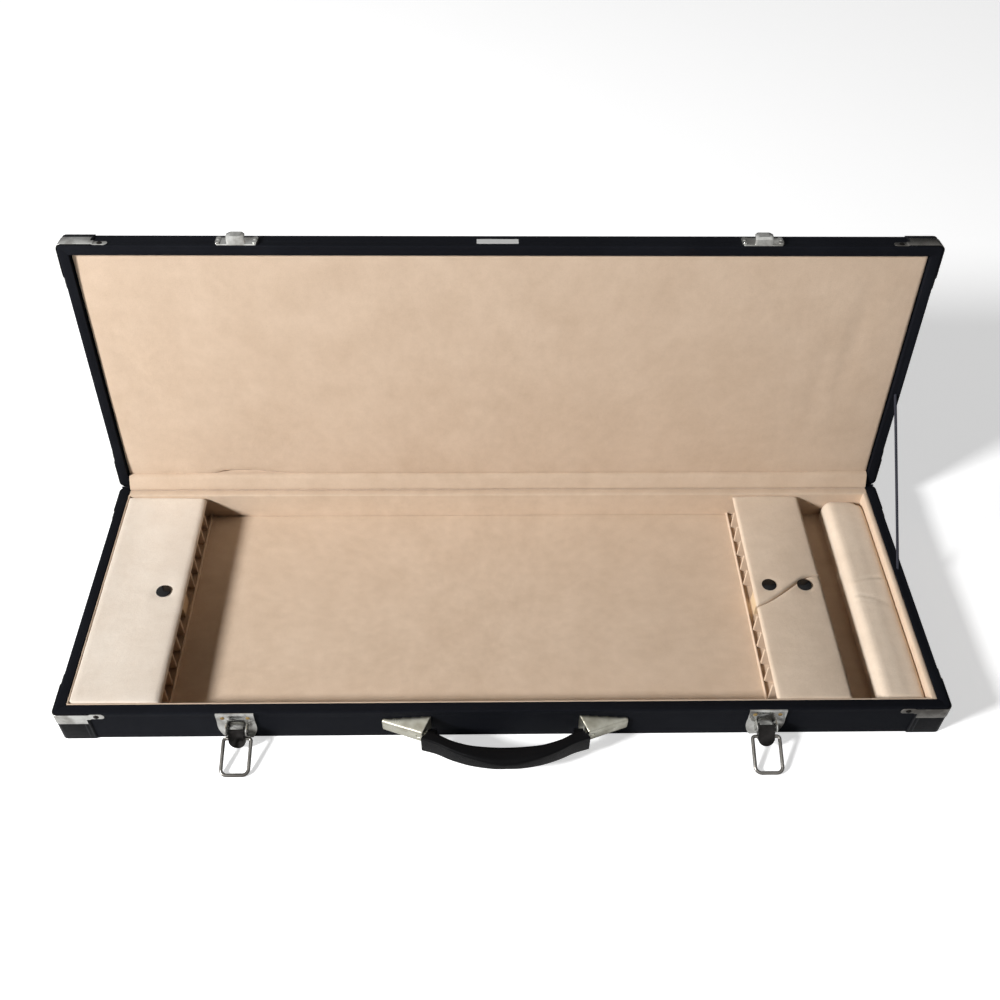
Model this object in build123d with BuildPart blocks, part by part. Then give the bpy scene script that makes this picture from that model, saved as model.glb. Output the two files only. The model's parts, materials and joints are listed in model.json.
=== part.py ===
"""Flat twelve-bow violin bow case with a hinged lid, shown open.

Millimetres. X runs along the case, Y from the front to the back and Z up.
The origin is the centre of the underside of the base. Lid pieces are drawn
on the closed lid and carried round the hinge axis to the open lid, and the
latch and handle pieces are carried round their own pivots the same way.
"""

import os
from math import asin, cos, degrees, radians, sin

from build123d import *

os.makedirs("parts", exist_ok=True)

# Outside of the case
case_length = 850.0
case_depth = 296.0
base_height = 42.0
lid_height = 22.0
seam_gap = 0.4
wall = 10.0
panel = 4.0
corner_radius = 5.0
edge_radius = 1.6

half_length = case_length / 2
front = -case_depth / 2
back = case_depth / 2
lid_bottom = base_height + seam_gap
lid_top = lid_bottom + lid_height
inner_x = half_length - wall
inner_y = back - wall

# Hinge of the lid
lid_open = 96.0
hinge_y = back + 1.0
hinge_z = base_height + seam_gap / 2
knuckle_radius = 2.4
hinge_pin_radius = 1.2
leaf_thickness = 1.0
leaf_depth = 17.0
hinge_length = 60.0
hinge_places = (-300.0, 0.0, 300.0)
knuckles = 5
knuckle_gap = 0.3

# Lining and padding
lining = 2.5
lining_top = base_height - 0.6
right_lining = 5.8
lining_seam = 0.3
floor_top = 9.0
hinge_cloth = 1.0
hinge_cloth_width = 8.0
hinge_cloth_recess = 1.2
lining_x = inner_x - lining
lining_y = inner_y - lining

# The two slotted racks that hold the bows
divider = 2.4
rack_top = 33.0
slots_each_side = 6
centre_block_half = 9.6
tip_rack_x = (-lining_x, -331.0)
frog_rack_x = (265.5, 334.5)
rail = 3.0
rail_top = 15.0

# Padded flaps over the racks
flap_bottom = 33.4
flap_edge_top = 38.2
flap_top = 40.4
flap_clearance = 0.4
tip_flap_x = (-lining_x + 0.3, -327.5)
frog_flap_x = (262.0, 335.5)
seam_half_gap = 0.3
tip_flap_corner = 9.0
flap_side_bulge = 1.2
dimple_radius = 16.0
dimple_depth = 1.3
tip_snap = (-350.0, 1.0)
back_flap_snap = (279.0, 5.6)
front_flap_snap = (316.0, 5.4)
snap_recess_radius = 6.6
snap_cap_radius = 6.4
snap_seat = 39.2
snap_rim = 0.7
snap_dome = 1.8

# Press studs under the flaps
stud_base_radius = 4.0
stud_base = 0.6
stud_radius = 2.3
stud_height = 2.8
stud_room_radius = 5.5
stud_room = 4.0

# Cushion at the right end and pad in the lid
end_cushion_x = (361.0, 408.8)
end_cushion_top = 35.0
end_cushion_drop = 2.5
end_cushion_foot = 3.0
end_cushion_corner = 14.0
lid_pad_x = 411.5
lid_pad_rear = hinge_y - 13.0
lid_pad_front = -lining_y - 1.5
lid_pad_drop = 0.8
lid_pad_edge_drop = 3.0

# Corner patches and nickel corner bands
patch = 0.8
patch_reach = 33.0
band = 0.6
band_reach = 31.0
band_height = 14.0
band_rim_gap = 1.0
tab_width = 7.0
tab_end = 48.0
tab_round = 3.4
tab_screw = 40.4
screw_radius = 1.2
screw_head_radius = 2.6
screw_head = 0.9
screw_depth = 7.0

# Toggle latches on the front wall
latch_x = (-255.0, 250.0)
latch_lever_rest = (20.0, 40.0)
latch_plate = 1.6
latch_plate_top = 41.4
latch_plate_bottom = 1.6
lever_half_width = 8.0
lever_sheet = 1.4
lever_pivot = (front - 6.5, 21.0)
lever_pin_radius = 1.5
bail_drop = 9.0
bail_wire = 1.4
bail_half_width = 13.0
bail_corner = 6.0
bail_seat = (front - 4.7, 46.6)
bail_floor_clearance = 0.3
pin_clearance = 0.05

# Catches on the lid
catch_half_width = 20.0
catch_plate = 1.2
catch_bottom = lid_bottom + 1.0
catch_top = catch_bottom + 15.0
hook_half_width = 7.0

# Handle, with distances from the wall called reaches
handle_pivot = (front - 13.0, 23.0)
cap_mouth = ((70.3, 0.0), (78.5, 18.5))
cap_sections = (
    (68.0, ((0.0, 35.4), (22.6, 34.0), (18.9, 12.2), (0.0, 11.1))),
    (117.5, ((0.0, 31.1), (3.2, 30.2), (2.7, 15.8), (0.0, 15.4))),
)
cap_edge_radius = 2.0
handle_pin_radius = 2.5
handle_pin_x = (66.0, 84.0)
grip_end = ((70.0, -2.6), (72.8, -2.6), (75.0, 7.4), (70.0, 7.4))
grip_end_half_height = 6.0

# Stay cord between the right end walls
stay_x = half_length - 5.5
stay_reach = 123.0
stay_radius = 1.5
stay_hole_depth = 5.0
stay_hole_clearance = 0.1


def about_x(point, angle):
    """The turn by angle about the X-wise line through point, given as (y, z)."""
    return Pos(0, *point) * Rot(angle, 0, 0) * Pos(0, -point[0], -point[1])


lid_swing = about_x((hinge_y, hinge_z), -lid_open)


def on_lid(plane):
    """A plane drawn on the closed lid, carried to the open lid."""
    return Plane(lid_swing * plane.location)


def on_base(plane):
    """A plane of the base stays where it is drawn."""
    return plane


def write(piece, name):
    """Label a finished piece and write its STEP file."""
    piece.part.label = name
    export_step(piece.part, f"parts/{name}.step")


def dome(radius, low, high):
    """The arc of a round cap, from its rim at low to its crown on the axis at high."""
    rise = high - low
    ball = (radius ** 2 + rise ** 2) / (2 * rise)
    rim_angle = degrees(asin((ball - rise) / ball))
    CenterArc((0, high - ball), ball, rim_angle, 90 - rim_angle)


def facing(x, y, z, direction):
    """A plane at a point of a wall's outer face, looking outwards."""
    turns = {"front": (0, -1, 0), "back": (0, 1, 0), "left": (-1, 0, 0), "right": (1, 0, 0)}
    side = (1, 0, 0) if direction in ("front", "back") else (0, 1, 0)
    return Plane(origin=(x, y, z), x_dir=side, z_dir=turns[direction])


# Places of the screws and rivets, as planes on the outer faces
def corner_screw_places(screw_z, place):
    """Two screws at each corner, one on the long side and one on the end."""
    planes = []
    for sx in (-1, 1):
        for sy, name in ((-1, "front"), (1, "back")):
            planes.append(place(facing(sx * (half_length - tab_screw), sy * back, screw_z, name)))
            end = "right" if sx > 0 else "left"
            planes.append(place(facing(sx * half_length, sy * (back - tab_screw), screw_z, end)))
    return planes


base_band_top = base_height - band_rim_gap
lid_band_bottom = lid_bottom + band_rim_gap
base_corner_screws_at = corner_screw_places(base_band_top - tab_width / 2, on_base)
lid_corner_screws_at = corner_screw_places(lid_band_bottom + tab_width / 2, on_lid)

latch_rivets_at = [
    facing(x + dx, front, 35.0, "front") for x in latch_x for dx in (-12.0, 12.0)
]
catch_rivets_at = [
    on_lid(facing(x + dx, front, (catch_bottom + catch_top) / 2, "front"))
    for x in latch_x for dx in (-17.6, 17.6)
]
hinge_screws_base_at = [
    facing(x + dx, back, hinge_z - 11.0, "back") for x in hinge_places for dx in (-20.0, 20.0)
]
hinge_screws_lid_at = [
    on_lid(facing(x + dx, back, hinge_z + 11.0, "back")) for x in hinge_places for dx in (-20.0, 20.0)
]

# Line of the stay cord, from the base rim to the lid rim
stay_base_y = hinge_y - stay_reach
stay_foot = Vector(stay_x, stay_base_y, base_height)
stay_head = Vector(on_lid(Plane(origin=(stay_x, stay_base_y, lid_bottom))).origin)
stay_line = (stay_head - stay_foot).normalized()
stay_plane = Plane(origin=stay_foot - stay_line * stay_hole_depth, x_dir=(1, 0, 0), z_dir=stay_line)
stay_length = (stay_head - stay_foot).length + 2 * stay_hole_depth
print(f"stay cord {stay_length:.1f} mm with both ends in the walls")


# Covered boards of the base and the lid
def mitred_region(side):
    """The region of one wall in plan, cut at 45 degrees at the corners."""
    far_x = half_length + wall
    far_y = back + wall
    near_x = inner_x
    near_y = inner_y
    return {
        "front": ((-far_x, -far_y), (far_x, -far_y), (near_x, -near_y), (-near_x, -near_y)),
        "back": ((-far_x, far_y), (far_x, far_y), (near_x, near_y), (-near_x, near_y)),
        "left": ((-far_x, -far_y), (-near_x, -near_y), (-near_x, near_y), (-far_x, far_y)),
        "right": ((far_x, -far_y), (near_x, -near_y), (near_x, near_y), (far_x, far_y)),
    }[side]


def wall_boards(sides, bottom_plane, height, rim_at_top, drilled=()):
    """Walls of the base or the lid, rounded outside and mitred at the corners."""
    up = Axis(bottom_plane.origin, bottom_plane.z_dir)
    rim_start = height - hinge_cloth_recess if rim_at_top else 0.0
    with BuildPart() as boards:
        with BuildSketch(bottom_plane):
            RectangleRounded(case_length, case_depth, corner_radius)
            Rectangle(2 * inner_x, 2 * inner_y, mode=Mode.SUBTRACT)
        extrude(amount=height)
        fillet(boards.faces().sort_by(up)[0].outer_wire().edges(), edge_radius)
        fillet(boards.faces().sort_by(up)[-1].outer_wire().edges(), edge_radius)
        with BuildSketch(bottom_plane):
            for side in sides:
                with BuildLine():
                    Polyline(*mitred_region(side), close=True)
                make_face()
        extrude(amount=height, mode=Mode.INTERSECT)
        if "back" in sides:
            with BuildSketch(bottom_plane.offset(rim_start)):
                with Locations((0, back)):
                    Rectangle(2 * inner_x, 2 * wall)
            extrude(amount=hinge_cloth_recess, mode=Mode.SUBTRACT)
            hinge_local_z = hinge_z if rim_at_top else hinge_z - lid_bottom
            for x in hinge_places:
                groove = Plane(
                    origin=bottom_plane.from_local_coords((x - hinge_length / 2, hinge_y, hinge_local_z)),
                    x_dir=bottom_plane.z_dir, z_dir=(1, 0, 0),
                )
                with BuildSketch(groove):
                    Circle(knuckle_radius + 0.5)
                extrude(amount=hinge_length, mode=Mode.SUBTRACT)
        if "right" in sides:
            with BuildSketch(stay_plane):
                Circle(stay_radius + stay_hole_clearance)
            extrude(amount=stay_length, mode=Mode.SUBTRACT)
        if drilled:
            with Locations(*drilled):
                Hole(screw_radius, depth=screw_depth)
    return boards


base_floor = Plane.XY
lid_rim = on_lid(Plane.XY.offset(lid_bottom))
base_holes = {
    "front": base_corner_screws_at + latch_rivets_at,
    "back": base_corner_screws_at + hinge_screws_base_at,
    "ends": base_corner_screws_at,
}
lid_holes = {
    "front": lid_corner_screws_at + catch_rivets_at,
    "back": lid_corner_screws_at + hinge_screws_lid_at,
    "ends": lid_corner_screws_at,
}
for name, sides in (("front", ("front",)), ("back", ("back",)), ("ends", ("left", "right"))):
    node = "end_walls" if name == "ends" else f"{name}_wall"
    write(wall_boards(sides, base_floor, base_height, True, base_holes[name]), f"base_{node}")
    write(wall_boards(sides, lid_rim, lid_height, False, lid_holes[name]), f"lid_{node}")


def inset_panel(plane):
    """A flat board that fills the frame of walls."""
    with BuildPart() as board:
        with BuildSketch(plane):
            Rectangle(2 * inner_x, 2 * inner_y)
        extrude(amount=panel)
    return board


write(inset_panel(base_floor), "base_panel")
write(inset_panel(on_lid(Plane.XY.offset(lid_top - panel))), "lid_panel")

# Suede lining of the base, one strip on each wall and a padded floor
with BuildPart() as wall_linings:
    with BuildSketch(Plane.XY.offset(panel)):
        for sx in (-1, 1):
            with Locations((sx * (inner_x - lining / 2), 0)):
                Rectangle(lining, 2 * inner_y)
        for sy in (-1, 1):
            with Locations((0, sy * (inner_y - lining / 2))):
                Rectangle(2 * lining_x, lining)
    extrude(amount=lining_top - panel)
    with BuildSketch(Plane.XY.offset(floor_top + lining_seam)):
        with Locations((inner_x - right_lining / 2, 0)):
            Rectangle(right_lining, 2 * lining_y)
    extrude(amount=lining_top - floor_top - lining_seam)
write(wall_linings, "wall_linings")

with BuildPart() as floor_pad:
    with BuildSketch(Plane.XY.offset(panel)):
        Rectangle(2 * lining_x, 2 * lining_y)
    extrude(amount=floor_top - panel)
write(floor_pad, "floor_pad")


def hinge_lining(plane):
    """Half of the suede strip that hides the hinge, on one of the rims."""
    with BuildPart() as strip:
        with BuildSketch(plane):
            with Locations((0, inner_y + hinge_cloth_width / 2)):
                Rectangle(2 * inner_x - 3.0, hinge_cloth_width)
        extrude(amount=hinge_cloth)
    return strip


write(hinge_lining(Plane.XY.offset(base_height - hinge_cloth_recess)), "base_hinge_lining")
write(
    hinge_lining(on_lid(Plane.XY.offset(lid_bottom + hinge_cloth_recess - hinge_cloth))),
    "lid_hinge_lining",
)


# Slotted racks
def rack(span_x, rail_x):
    """Upright dividers on the floor and a low rail along their open ends."""
    side_room = lining_y - centre_block_half
    pitch = side_room / slots_each_side
    with BuildPart() as dividers:
        with BuildSketch(Plane.XY.offset(floor_top)):
            for sy in (-1, 1):
                for k in range(1, slots_each_side):
                    with Locations(((span_x[0] + span_x[1]) / 2, sy * (centre_block_half + k * pitch))):
                        Rectangle(span_x[1] - span_x[0], divider)
        extrude(amount=rack_top - floor_top)
        with BuildSketch(Plane.XY.offset(floor_top)):
            with Locations((rail_x, 0)):
                Rectangle(rail, 2 * lining_y - 0.4)
        extrude(amount=rail_top - floor_top)
    return dividers


def centre_block(span_x):
    """The wooden block in the middle of a rack that carries the press studs."""
    with BuildPart() as block:
        with BuildSketch(Plane.XY.offset(floor_top)):
            with Locations(((span_x[0] + span_x[1]) / 2, 0)):
                Rectangle(span_x[1] - span_x[0], 2 * centre_block_half)
        extrude(amount=rack_top - floor_top)
    return block


write(rack(tip_rack_x, tip_rack_x[1] + rail / 2), "tip_rack")
write(centre_block(tip_rack_x), "tip_rack_block")
write(rack(frog_rack_x, frog_rack_x[0] - rail / 2), "frog_rack")
write(centre_block(frog_rack_x), "frog_rack_block")

with BuildPart() as snap_studs:
    with BuildSketch(Plane.XY.offset(rack_top)):
        with Locations(tip_snap, back_flap_snap, front_flap_snap):
            Circle(stud_base_radius)
    extrude(amount=stud_base)
    with BuildSketch(Plane.XY.offset(rack_top + stud_base)):
        with Locations(tip_snap, back_flap_snap, front_flap_snap):
            Circle(stud_radius)
    extrude(amount=stud_height)
write(snap_studs, "snap_studs")


# Padded flaps
def crown(span, bottom, edge, top):
    """Outline of a pad across its width: flat below, drawn-in sides and a crowned top."""
    low, high = span
    middle = (low + high) / 2
    bulge = flap_side_bulge
    half = (bottom + edge) / 2
    Polyline((low + bulge, bottom), (high - bulge, bottom))
    ThreePointArc((high - bulge, bottom), (high, half), (high - bulge, edge))
    ThreePointArc((high - bulge, edge), (middle, top), (low + bulge, edge))
    ThreePointArc((low + bulge, edge), (low, half), (low + bulge, bottom))


def seam_points(shift):
    """The curved seam between the two frog flaps, moved along Y by shift."""
    left, right = frog_flap_x
    return (
        (left - 1.0, -22.0 + shift),
        (left + 16.0, -13.5 + shift),
        (left + 35.0, 0.0 + shift),
        (left + 52.0, 15.0 + shift),
        (right + 1.0, 21.0 + shift),
    )


def flap(span_x, region, snap):
    """A padded flap, crowned across its width, with the recess of its press stud."""
    flap_end = lining_y - flap_clearance
    with BuildPart() as pad:
        with BuildSketch(Plane.XZ.offset(-flap_end)):
            with BuildLine():
                crown(span_x, flap_bottom, flap_edge_top, flap_top)
            make_face()
        extrude(amount=2 * flap_end)
        if region == 0:
            with BuildSketch(Plane.XY.offset(flap_bottom)):
                with Locations(((span_x[0] + span_x[1]) / 2, 0)):
                    Rectangle(span_x[1] - span_x[0], 2 * flap_end)
                fillet(vertices().sort_by(Axis.X)[-2:].sort_by(Axis.Y)[-1], tip_flap_corner)
            extrude(amount=flap_top, mode=Mode.INTERSECT)
        else:
            with BuildSketch(Plane.XY.offset(flap_bottom)):
                with BuildLine():
                    seam = Spline(*seam_points(seam_half_gap if region > 0 else -seam_half_gap))
                    far = region * (flap_end + 1.0)
                    Polyline(seam @ 1, (span_x[1] + 1.0, far), (span_x[0] - 1.0, far), seam @ 0)
                make_face()
            extrude(amount=flap_top, mode=Mode.INTERSECT)
        with BuildSketch(Plane.XY.offset(flap_bottom)):
            with Locations(snap):
                Circle(stud_room_radius)
        extrude(amount=stud_room, mode=Mode.SUBTRACT)
        dimple_ball = (dimple_radius ** 2 + dimple_depth ** 2) / (2 * dimple_depth)
        with Locations((*snap, flap_top - dimple_depth + dimple_ball)):
            Sphere(dimple_ball, mode=Mode.SUBTRACT)
        with BuildSketch(Plane.XY.offset(snap_seat)):
            with Locations(snap):
                Circle(snap_recess_radius)
        extrude(amount=flap_top - snap_seat, mode=Mode.SUBTRACT)
    return pad


def snap_cap(snap):
    """The domed cap of a press stud."""
    with BuildPart() as cap:
        with BuildSketch(Plane(origin=(snap[0], snap[1], snap_seat), x_dir=(1, 0, 0), z_dir=(0, -1, 0))):
            with BuildLine():
                crown_z = snap_rim + snap_dome
                Polyline((0, crown_z), (0, 0), (snap_cap_radius, 0), (snap_cap_radius, snap_rim))
                dome(snap_cap_radius, snap_rim, crown_z)
            make_face()
        revolve(axis=Axis((snap[0], snap[1], 0), (0, 0, 1)))
    return cap


write(flap(tip_flap_x, 0, tip_snap), "tip_flap")
write(flap(frog_flap_x, 1, back_flap_snap), "frog_back_flap")
write(flap(frog_flap_x, -1, front_flap_snap), "frog_front_flap")
write(snap_cap(tip_snap), "tip_snap_cap")
write(snap_cap(back_flap_snap), "frog_back_snap_cap")
write(snap_cap(front_flap_snap), "frog_front_snap_cap")

# Rounded cushion at the right end of the base, higher towards its left and lower at both ends
cushion_end = lining_y - 0.6
cushion_left, cushion_right = end_cushion_x
cushion_sections = (
    (-cushion_end, end_cushion_drop), (-cushion_end * 0.8, end_cushion_drop * 0.3), (0.0, 0.0),
    (cushion_end * 0.8, end_cushion_drop * 0.3), (cushion_end, end_cushion_drop),
)
with BuildPart() as end_cushion:
    for y, drop in cushion_sections:
        top = end_cushion_top - drop
        foot = (cushion_left + end_cushion_foot, floor_top)
        shoulder = (cushion_left + 8.0, top - 2.0)
        with BuildSketch(Plane.XZ.offset(-y)):
            with BuildLine():
                Polyline(foot, (cushion_right, floor_top), (cushion_right, top - 3.0))
                ThreePointArc((cushion_right, top - 3.0), (cushion_left + 25.0, top), shoulder)
                ThreePointArc(shoulder, (cushion_left + 0.6, (floor_top + top) / 2), foot)
            make_face()
    loft()
    with BuildSketch(Plane.XY.offset(floor_top - 1.0)):
        with Locations(((cushion_left + cushion_right) / 2, 0)):
            Rectangle(cushion_right - cushion_left + 2.0, 2 * cushion_end + 2.0)
        fillet(vertices().sort_by(Axis.X)[-2:].sort_by(Axis.Y)[-1], end_cushion_corner)
    extrude(amount=end_cushion_top, mode=Mode.INTERSECT)
write(end_cushion, "end_cushion")

# Padded lining of the lid: a broad pad with a shallow crown and drawn-in edges
with BuildPart() as lid_pad:
    pad_middle = (lid_pad_rear + lid_pad_front) / 2
    surface = lid_bottom + lid_pad_drop
    edge = lid_bottom + lid_pad_edge_drop
    with BuildSketch(on_lid(Plane.XZ.offset(-lid_pad_rear))):
        with BuildLine():
            Polyline(
                (lid_pad_x, edge), (lid_pad_x, lid_top - panel),
                (-lid_pad_x, lid_top - panel), (-lid_pad_x, edge),
            )
            ThreePointArc((-lid_pad_x, edge), (0, surface), (lid_pad_x, edge))
        make_face()
    extrude(amount=lid_pad_rear - lid_pad_front)
    with BuildSketch(on_lid(Plane.YZ.offset(-lid_pad_x))):
        with BuildLine():
            Polyline(
                (lid_pad_rear, edge), (lid_pad_rear, lid_top - panel),
                (lid_pad_front, lid_top - panel), (lid_pad_front, edge),
            )
            ThreePointArc((lid_pad_front, edge), (pad_middle, surface), (lid_pad_rear, edge))
        make_face()
    extrude(amount=2 * lid_pad_x, mode=Mode.INTERSECT)
write(lid_pad, "lid_pad")


# Corner patches and bands
def corner_plan(sx, sy, inside, outside, reach):
    """Plan of a bent strip round one corner, between two distances from the wall face."""
    RectangleRounded(case_length + 2 * outside, case_depth + 2 * outside, corner_radius + outside)
    RectangleRounded(
        case_length + 2 * inside, case_depth + 2 * inside, corner_radius + inside, mode=Mode.SUBTRACT
    )
    with Locations((sx * half_length, sy * back)):
        Rectangle(2 * reach, 2 * reach, mode=Mode.INTERSECT)


def corner_patches(bottom, top, place):
    """Leatherette patches over the four corners."""
    with BuildPart() as patches:
        for sx in (-1, 1):
            for sy in (-1, 1):
                with BuildSketch(place(Plane.XY.offset(bottom))):
                    with BuildSketch(mode=Mode.PRIVATE) as strip:
                        corner_plan(sx, sy, 0, patch, patch_reach)
                    add(strip.sketch)
                extrude(amount=top - bottom)
    return patches


def corner_band(sx, sy, bottom, tab_bottom, place):
    """A nickel band over one patch, with a screwed tab at each end."""
    with BuildPart() as strip:
        with BuildSketch(place(Plane.XY.offset(bottom))):
            corner_plan(sx, sy, patch, patch + band, band_reach)
        extrude(amount=band_height)
        with BuildSketch(place(Plane.XY.offset(tab_bottom))):
            for along_x in (True, False):
                def at(distance, out):
                    if along_x:
                        return (sx * (half_length - distance), sy * (back + out))
                    return (sx * (half_length + out), sy * (back - distance))
                with BuildLine():
                    Polyline(
                        at(band_reach, patch), at(patch_reach + 0.6, patch), at(patch_reach + 2.0, 0),
                        at(tab_end, 0), at(tab_end, band), at(patch_reach + 2.4, band),
                        at(patch_reach + 1.2, patch + band), at(band_reach, patch + band), close=True,
                    )
                make_face()
        extrude(amount=tab_width)
        tips = [
            place(Plane(origin=(*corner, z))).origin
            for corner in (
                (sx * (half_length - tab_end), sy * (back + band / 2)),
                (sx * (half_length + band / 2), sy * (back - tab_end)),
            )
            for z in (tab_bottom, tab_bottom + tab_width)
        ]
        tip_edges = strip.edges().filter_by(lambda e: any((e.center() - tip).length < 0.05 for tip in tips))
        fillet(tip_edges, tab_round)
        screws = base_corner_screws_at if place is on_base else lid_corner_screws_at
        with Locations(*screws):
            Cylinder(screw_radius, 4.0, mode=Mode.SUBTRACT)
    return strip


write(corner_patches(0.4, base_height - 0.2, on_base), "base_corner_patches")
write(corner_patches(lid_bottom + 0.2, lid_top - 0.4, on_lid), "lid_corner_patches")
for sx, side in ((-1, "left"), (1, "right")):
    for sy, end in ((-1, "front"), (1, "back")):
        base_band = corner_band(sx, sy, base_band_top - band_height, base_band_top - tab_width, on_base)
        write(base_band, f"base_band_{end}_{side}")
        write(corner_band(sx, sy, lid_band_bottom, lid_band_bottom, on_lid), f"lid_band_{end}_{side}")


# Screws and rivets
def fasteners(places, seat, head_radius, head_height):
    """Domed fasteners, each with its shank in the wall and its head on the seat."""
    shank = screw_depth - 0.5
    with BuildPart() as group:
        for place in places:
            profile = Plane(origin=place.origin, x_dir=place.x_dir, z_dir=-place.y_dir)
            with BuildSketch(profile):
                with BuildLine():
                    Polyline(
                        (0, seat + head_height), (0, -shank), (screw_radius, -shank),
                        (screw_radius, seat), (head_radius, seat),
                    )
                    dome(head_radius, seat, seat + head_height)
                make_face()
            revolve(axis=Axis(place.origin, place.z_dir))
    return group


write(fasteners(base_corner_screws_at, band, screw_head_radius, screw_head), "base_corner_screws")
write(fasteners(lid_corner_screws_at, band, screw_head_radius, screw_head), "lid_corner_screws")
write(fasteners(latch_rivets_at, latch_plate, 2.2, 0.9), "latch_rivets")
write(fasteners(catch_rivets_at, 2.4, 1.9, 0.8), "catch_rivets")
write(fasteners(hinge_screws_base_at, leaf_thickness, 2.4, 0.8), "hinge_base_screws")
write(fasteners(hinge_screws_lid_at, leaf_thickness, 2.4, 0.8), "hinge_lid_screws")


# Butt hinges
def hinge_leaves(first, place, direction, screws):
    """Three leaves with every second knuckle of each hinge."""
    knuckle = hinge_length / knuckles
    with BuildPart() as leaves:
        for x in hinge_places:
            for k in range(first, knuckles, 2):
                start = x - hinge_length / 2 + k * knuckle + knuckle_gap / 2
                with BuildSketch(place(Plane.YZ.offset(start))):
                    with Locations((hinge_y, hinge_z)):
                        Circle(knuckle_radius)
                    with Locations((back + leaf_thickness / 2, hinge_z + direction * leaf_depth / 4)):
                        Rectangle(leaf_thickness, leaf_depth / 2)
                    with Locations((hinge_y, hinge_z)):
                        Circle(hinge_pin_radius + pin_clearance, mode=Mode.SUBTRACT)
                extrude(amount=knuckle - knuckle_gap)
            with BuildSketch(place(Plane.YZ.offset(x - hinge_length / 2))):
                middle = hinge_z + direction * (knuckle_radius + 0.5 + leaf_depth) / 2
                with Locations((back + leaf_thickness / 2, middle)):
                    Rectangle(leaf_thickness, leaf_depth - knuckle_radius - 0.5)
            extrude(amount=hinge_length)
        with Locations(*screws):
            Cylinder(screw_radius, 4.0, mode=Mode.SUBTRACT)
    return leaves


write(hinge_leaves(0, on_base, -1, hinge_screws_base_at), "hinge_base_leaves")
write(hinge_leaves(1, on_lid, 1, hinge_screws_lid_at), "hinge_lid_leaves")

with BuildPart() as hinge_pins:
    for x in hinge_places:
        with BuildSketch(Plane.YZ.offset(x - hinge_length / 2)):
            with Locations((hinge_y, hinge_z)):
                Circle(hinge_pin_radius)
        extrude(amount=hinge_length)
write(hinge_pins, "hinge_pins")


# Latches
def latch_face(x):
    """Outline of a latch plate: wide at the top, with curved sides to a narrow foot."""
    top_half = 18.0
    foot_half = 12.5
    Polyline((x - foot_half, latch_plate_bottom), (x + foot_half, latch_plate_bottom))
    ThreePointArc(
        (x + foot_half, latch_plate_bottom), (x + 17.6, 14.0), (x + top_half, 28.0)
    )
    Polyline(
        (x + top_half, 28.0), (x + top_half, latch_plate_top),
        (x - top_half, latch_plate_top), (x - top_half, 28.0),
    )
    ThreePointArc((x - top_half, 28.0), (x - 17.6, 14.0), (x - foot_half, latch_plate_bottom))


def latch_base(x):
    """The riveted plate of a latch, with a lip along its top and two ears for the lever."""
    ear_radius = 5.0
    pivot_y, pivot_z = lever_pivot
    with BuildPart() as plate:
        with BuildSketch(Plane.XZ.offset(-front)):
            with BuildLine():
                latch_face(x)
            make_face()
        extrude(amount=latch_plate)
        with BuildSketch(Plane.XZ.offset(-front + latch_plate)):
            with Locations((x, latch_plate_top - 1.0)):
                Rectangle(20.0, 2.0)
        extrude(amount=0.8)
        for side in (-1, 1):
            with BuildSketch(Plane.YZ.offset(x + side * 9.6 - 0.6)):
                with Locations(lever_pivot):
                    Circle(ear_radius)
                with Locations(((front - latch_plate + pivot_y) / 2 + 0.2, pivot_z)):
                    Rectangle(front - latch_plate - pivot_y + 0.4, 2 * ear_radius)
                with Locations(lever_pivot):
                    Circle(lever_pin_radius, mode=Mode.SUBTRACT)
            extrude(amount=1.2)
        with Locations(*latch_rivets_at):
            Cylinder(screw_radius, 8.0, mode=Mode.SUBTRACT)
    return plate


def latch_lever(x, rest):
    """The folded sheet lever, drawn closed and swung out to its rest."""
    carried = about_x(lever_pivot, -rest)
    pivot_y, pivot_z = lever_pivot
    face_y = pivot_y - 3.2
    bottom = pivot_z - 18.0

    def place(plane):
        return Plane(carried * plane.location)

    with BuildPart() as lever:
        with BuildSketch(place(Plane.XZ.offset(-face_y - lever_sheet))):
            with Locations((x, (pivot_z + 3.0 + bottom + 6.0) / 2)):
                Rectangle(2 * lever_half_width, pivot_z + 3.0 - bottom - 6.0)
            with Locations((x, bottom + 8.0)):
                Circle(lever_half_width)
        extrude(amount=lever_sheet)
        for side in (-1, 1):
            inner = x + side * (lever_half_width - lever_sheet / 2) - lever_sheet / 2
            with BuildSketch(place(Plane.YZ.offset(inner))):
                with Locations(lever_pivot):
                    Circle(4.2)
                with Locations((pivot_y, pivot_z - bail_drop)):
                    Circle(3.1)
                with BuildLine():
                    Polyline(
                        (face_y + 0.2, pivot_z + 3.0), (face_y + 0.2, pivot_z - bail_drop - 3.0),
                        (pivot_y, pivot_z - bail_drop - 3.0), (pivot_y + 3.0, pivot_z - bail_drop),
                        (pivot_y + 4.1, pivot_z), (pivot_y, pivot_z + 4.1), close=True,
                    )
                make_face()
                with Locations((pivot_y, pivot_z)):
                    Circle(lever_pin_radius + pin_clearance, mode=Mode.SUBTRACT)
                with Locations((pivot_y, pivot_z - bail_drop)):
                    Circle(bail_wire + pin_clearance, mode=Mode.SUBTRACT)
            extrude(amount=lever_sheet)
    return lever


bail_reach = (
    (bail_seat[0] - lever_pivot[0]) ** 2 + (bail_seat[1] - lever_pivot[1] + bail_drop) ** 2
) ** 0.5


def bail_rest(rest):
    """Where a bail's pivot rests, as (y, z), and how far the bail lies below the level."""
    pivot_y = lever_pivot[0] - bail_drop * sin(radians(rest))
    pivot_z = lever_pivot[1] - bail_drop * cos(radians(rest))
    dip = degrees(asin((pivot_z - bail_wire - bail_floor_clearance) / bail_reach))
    return (pivot_y, pivot_z), dip


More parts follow.
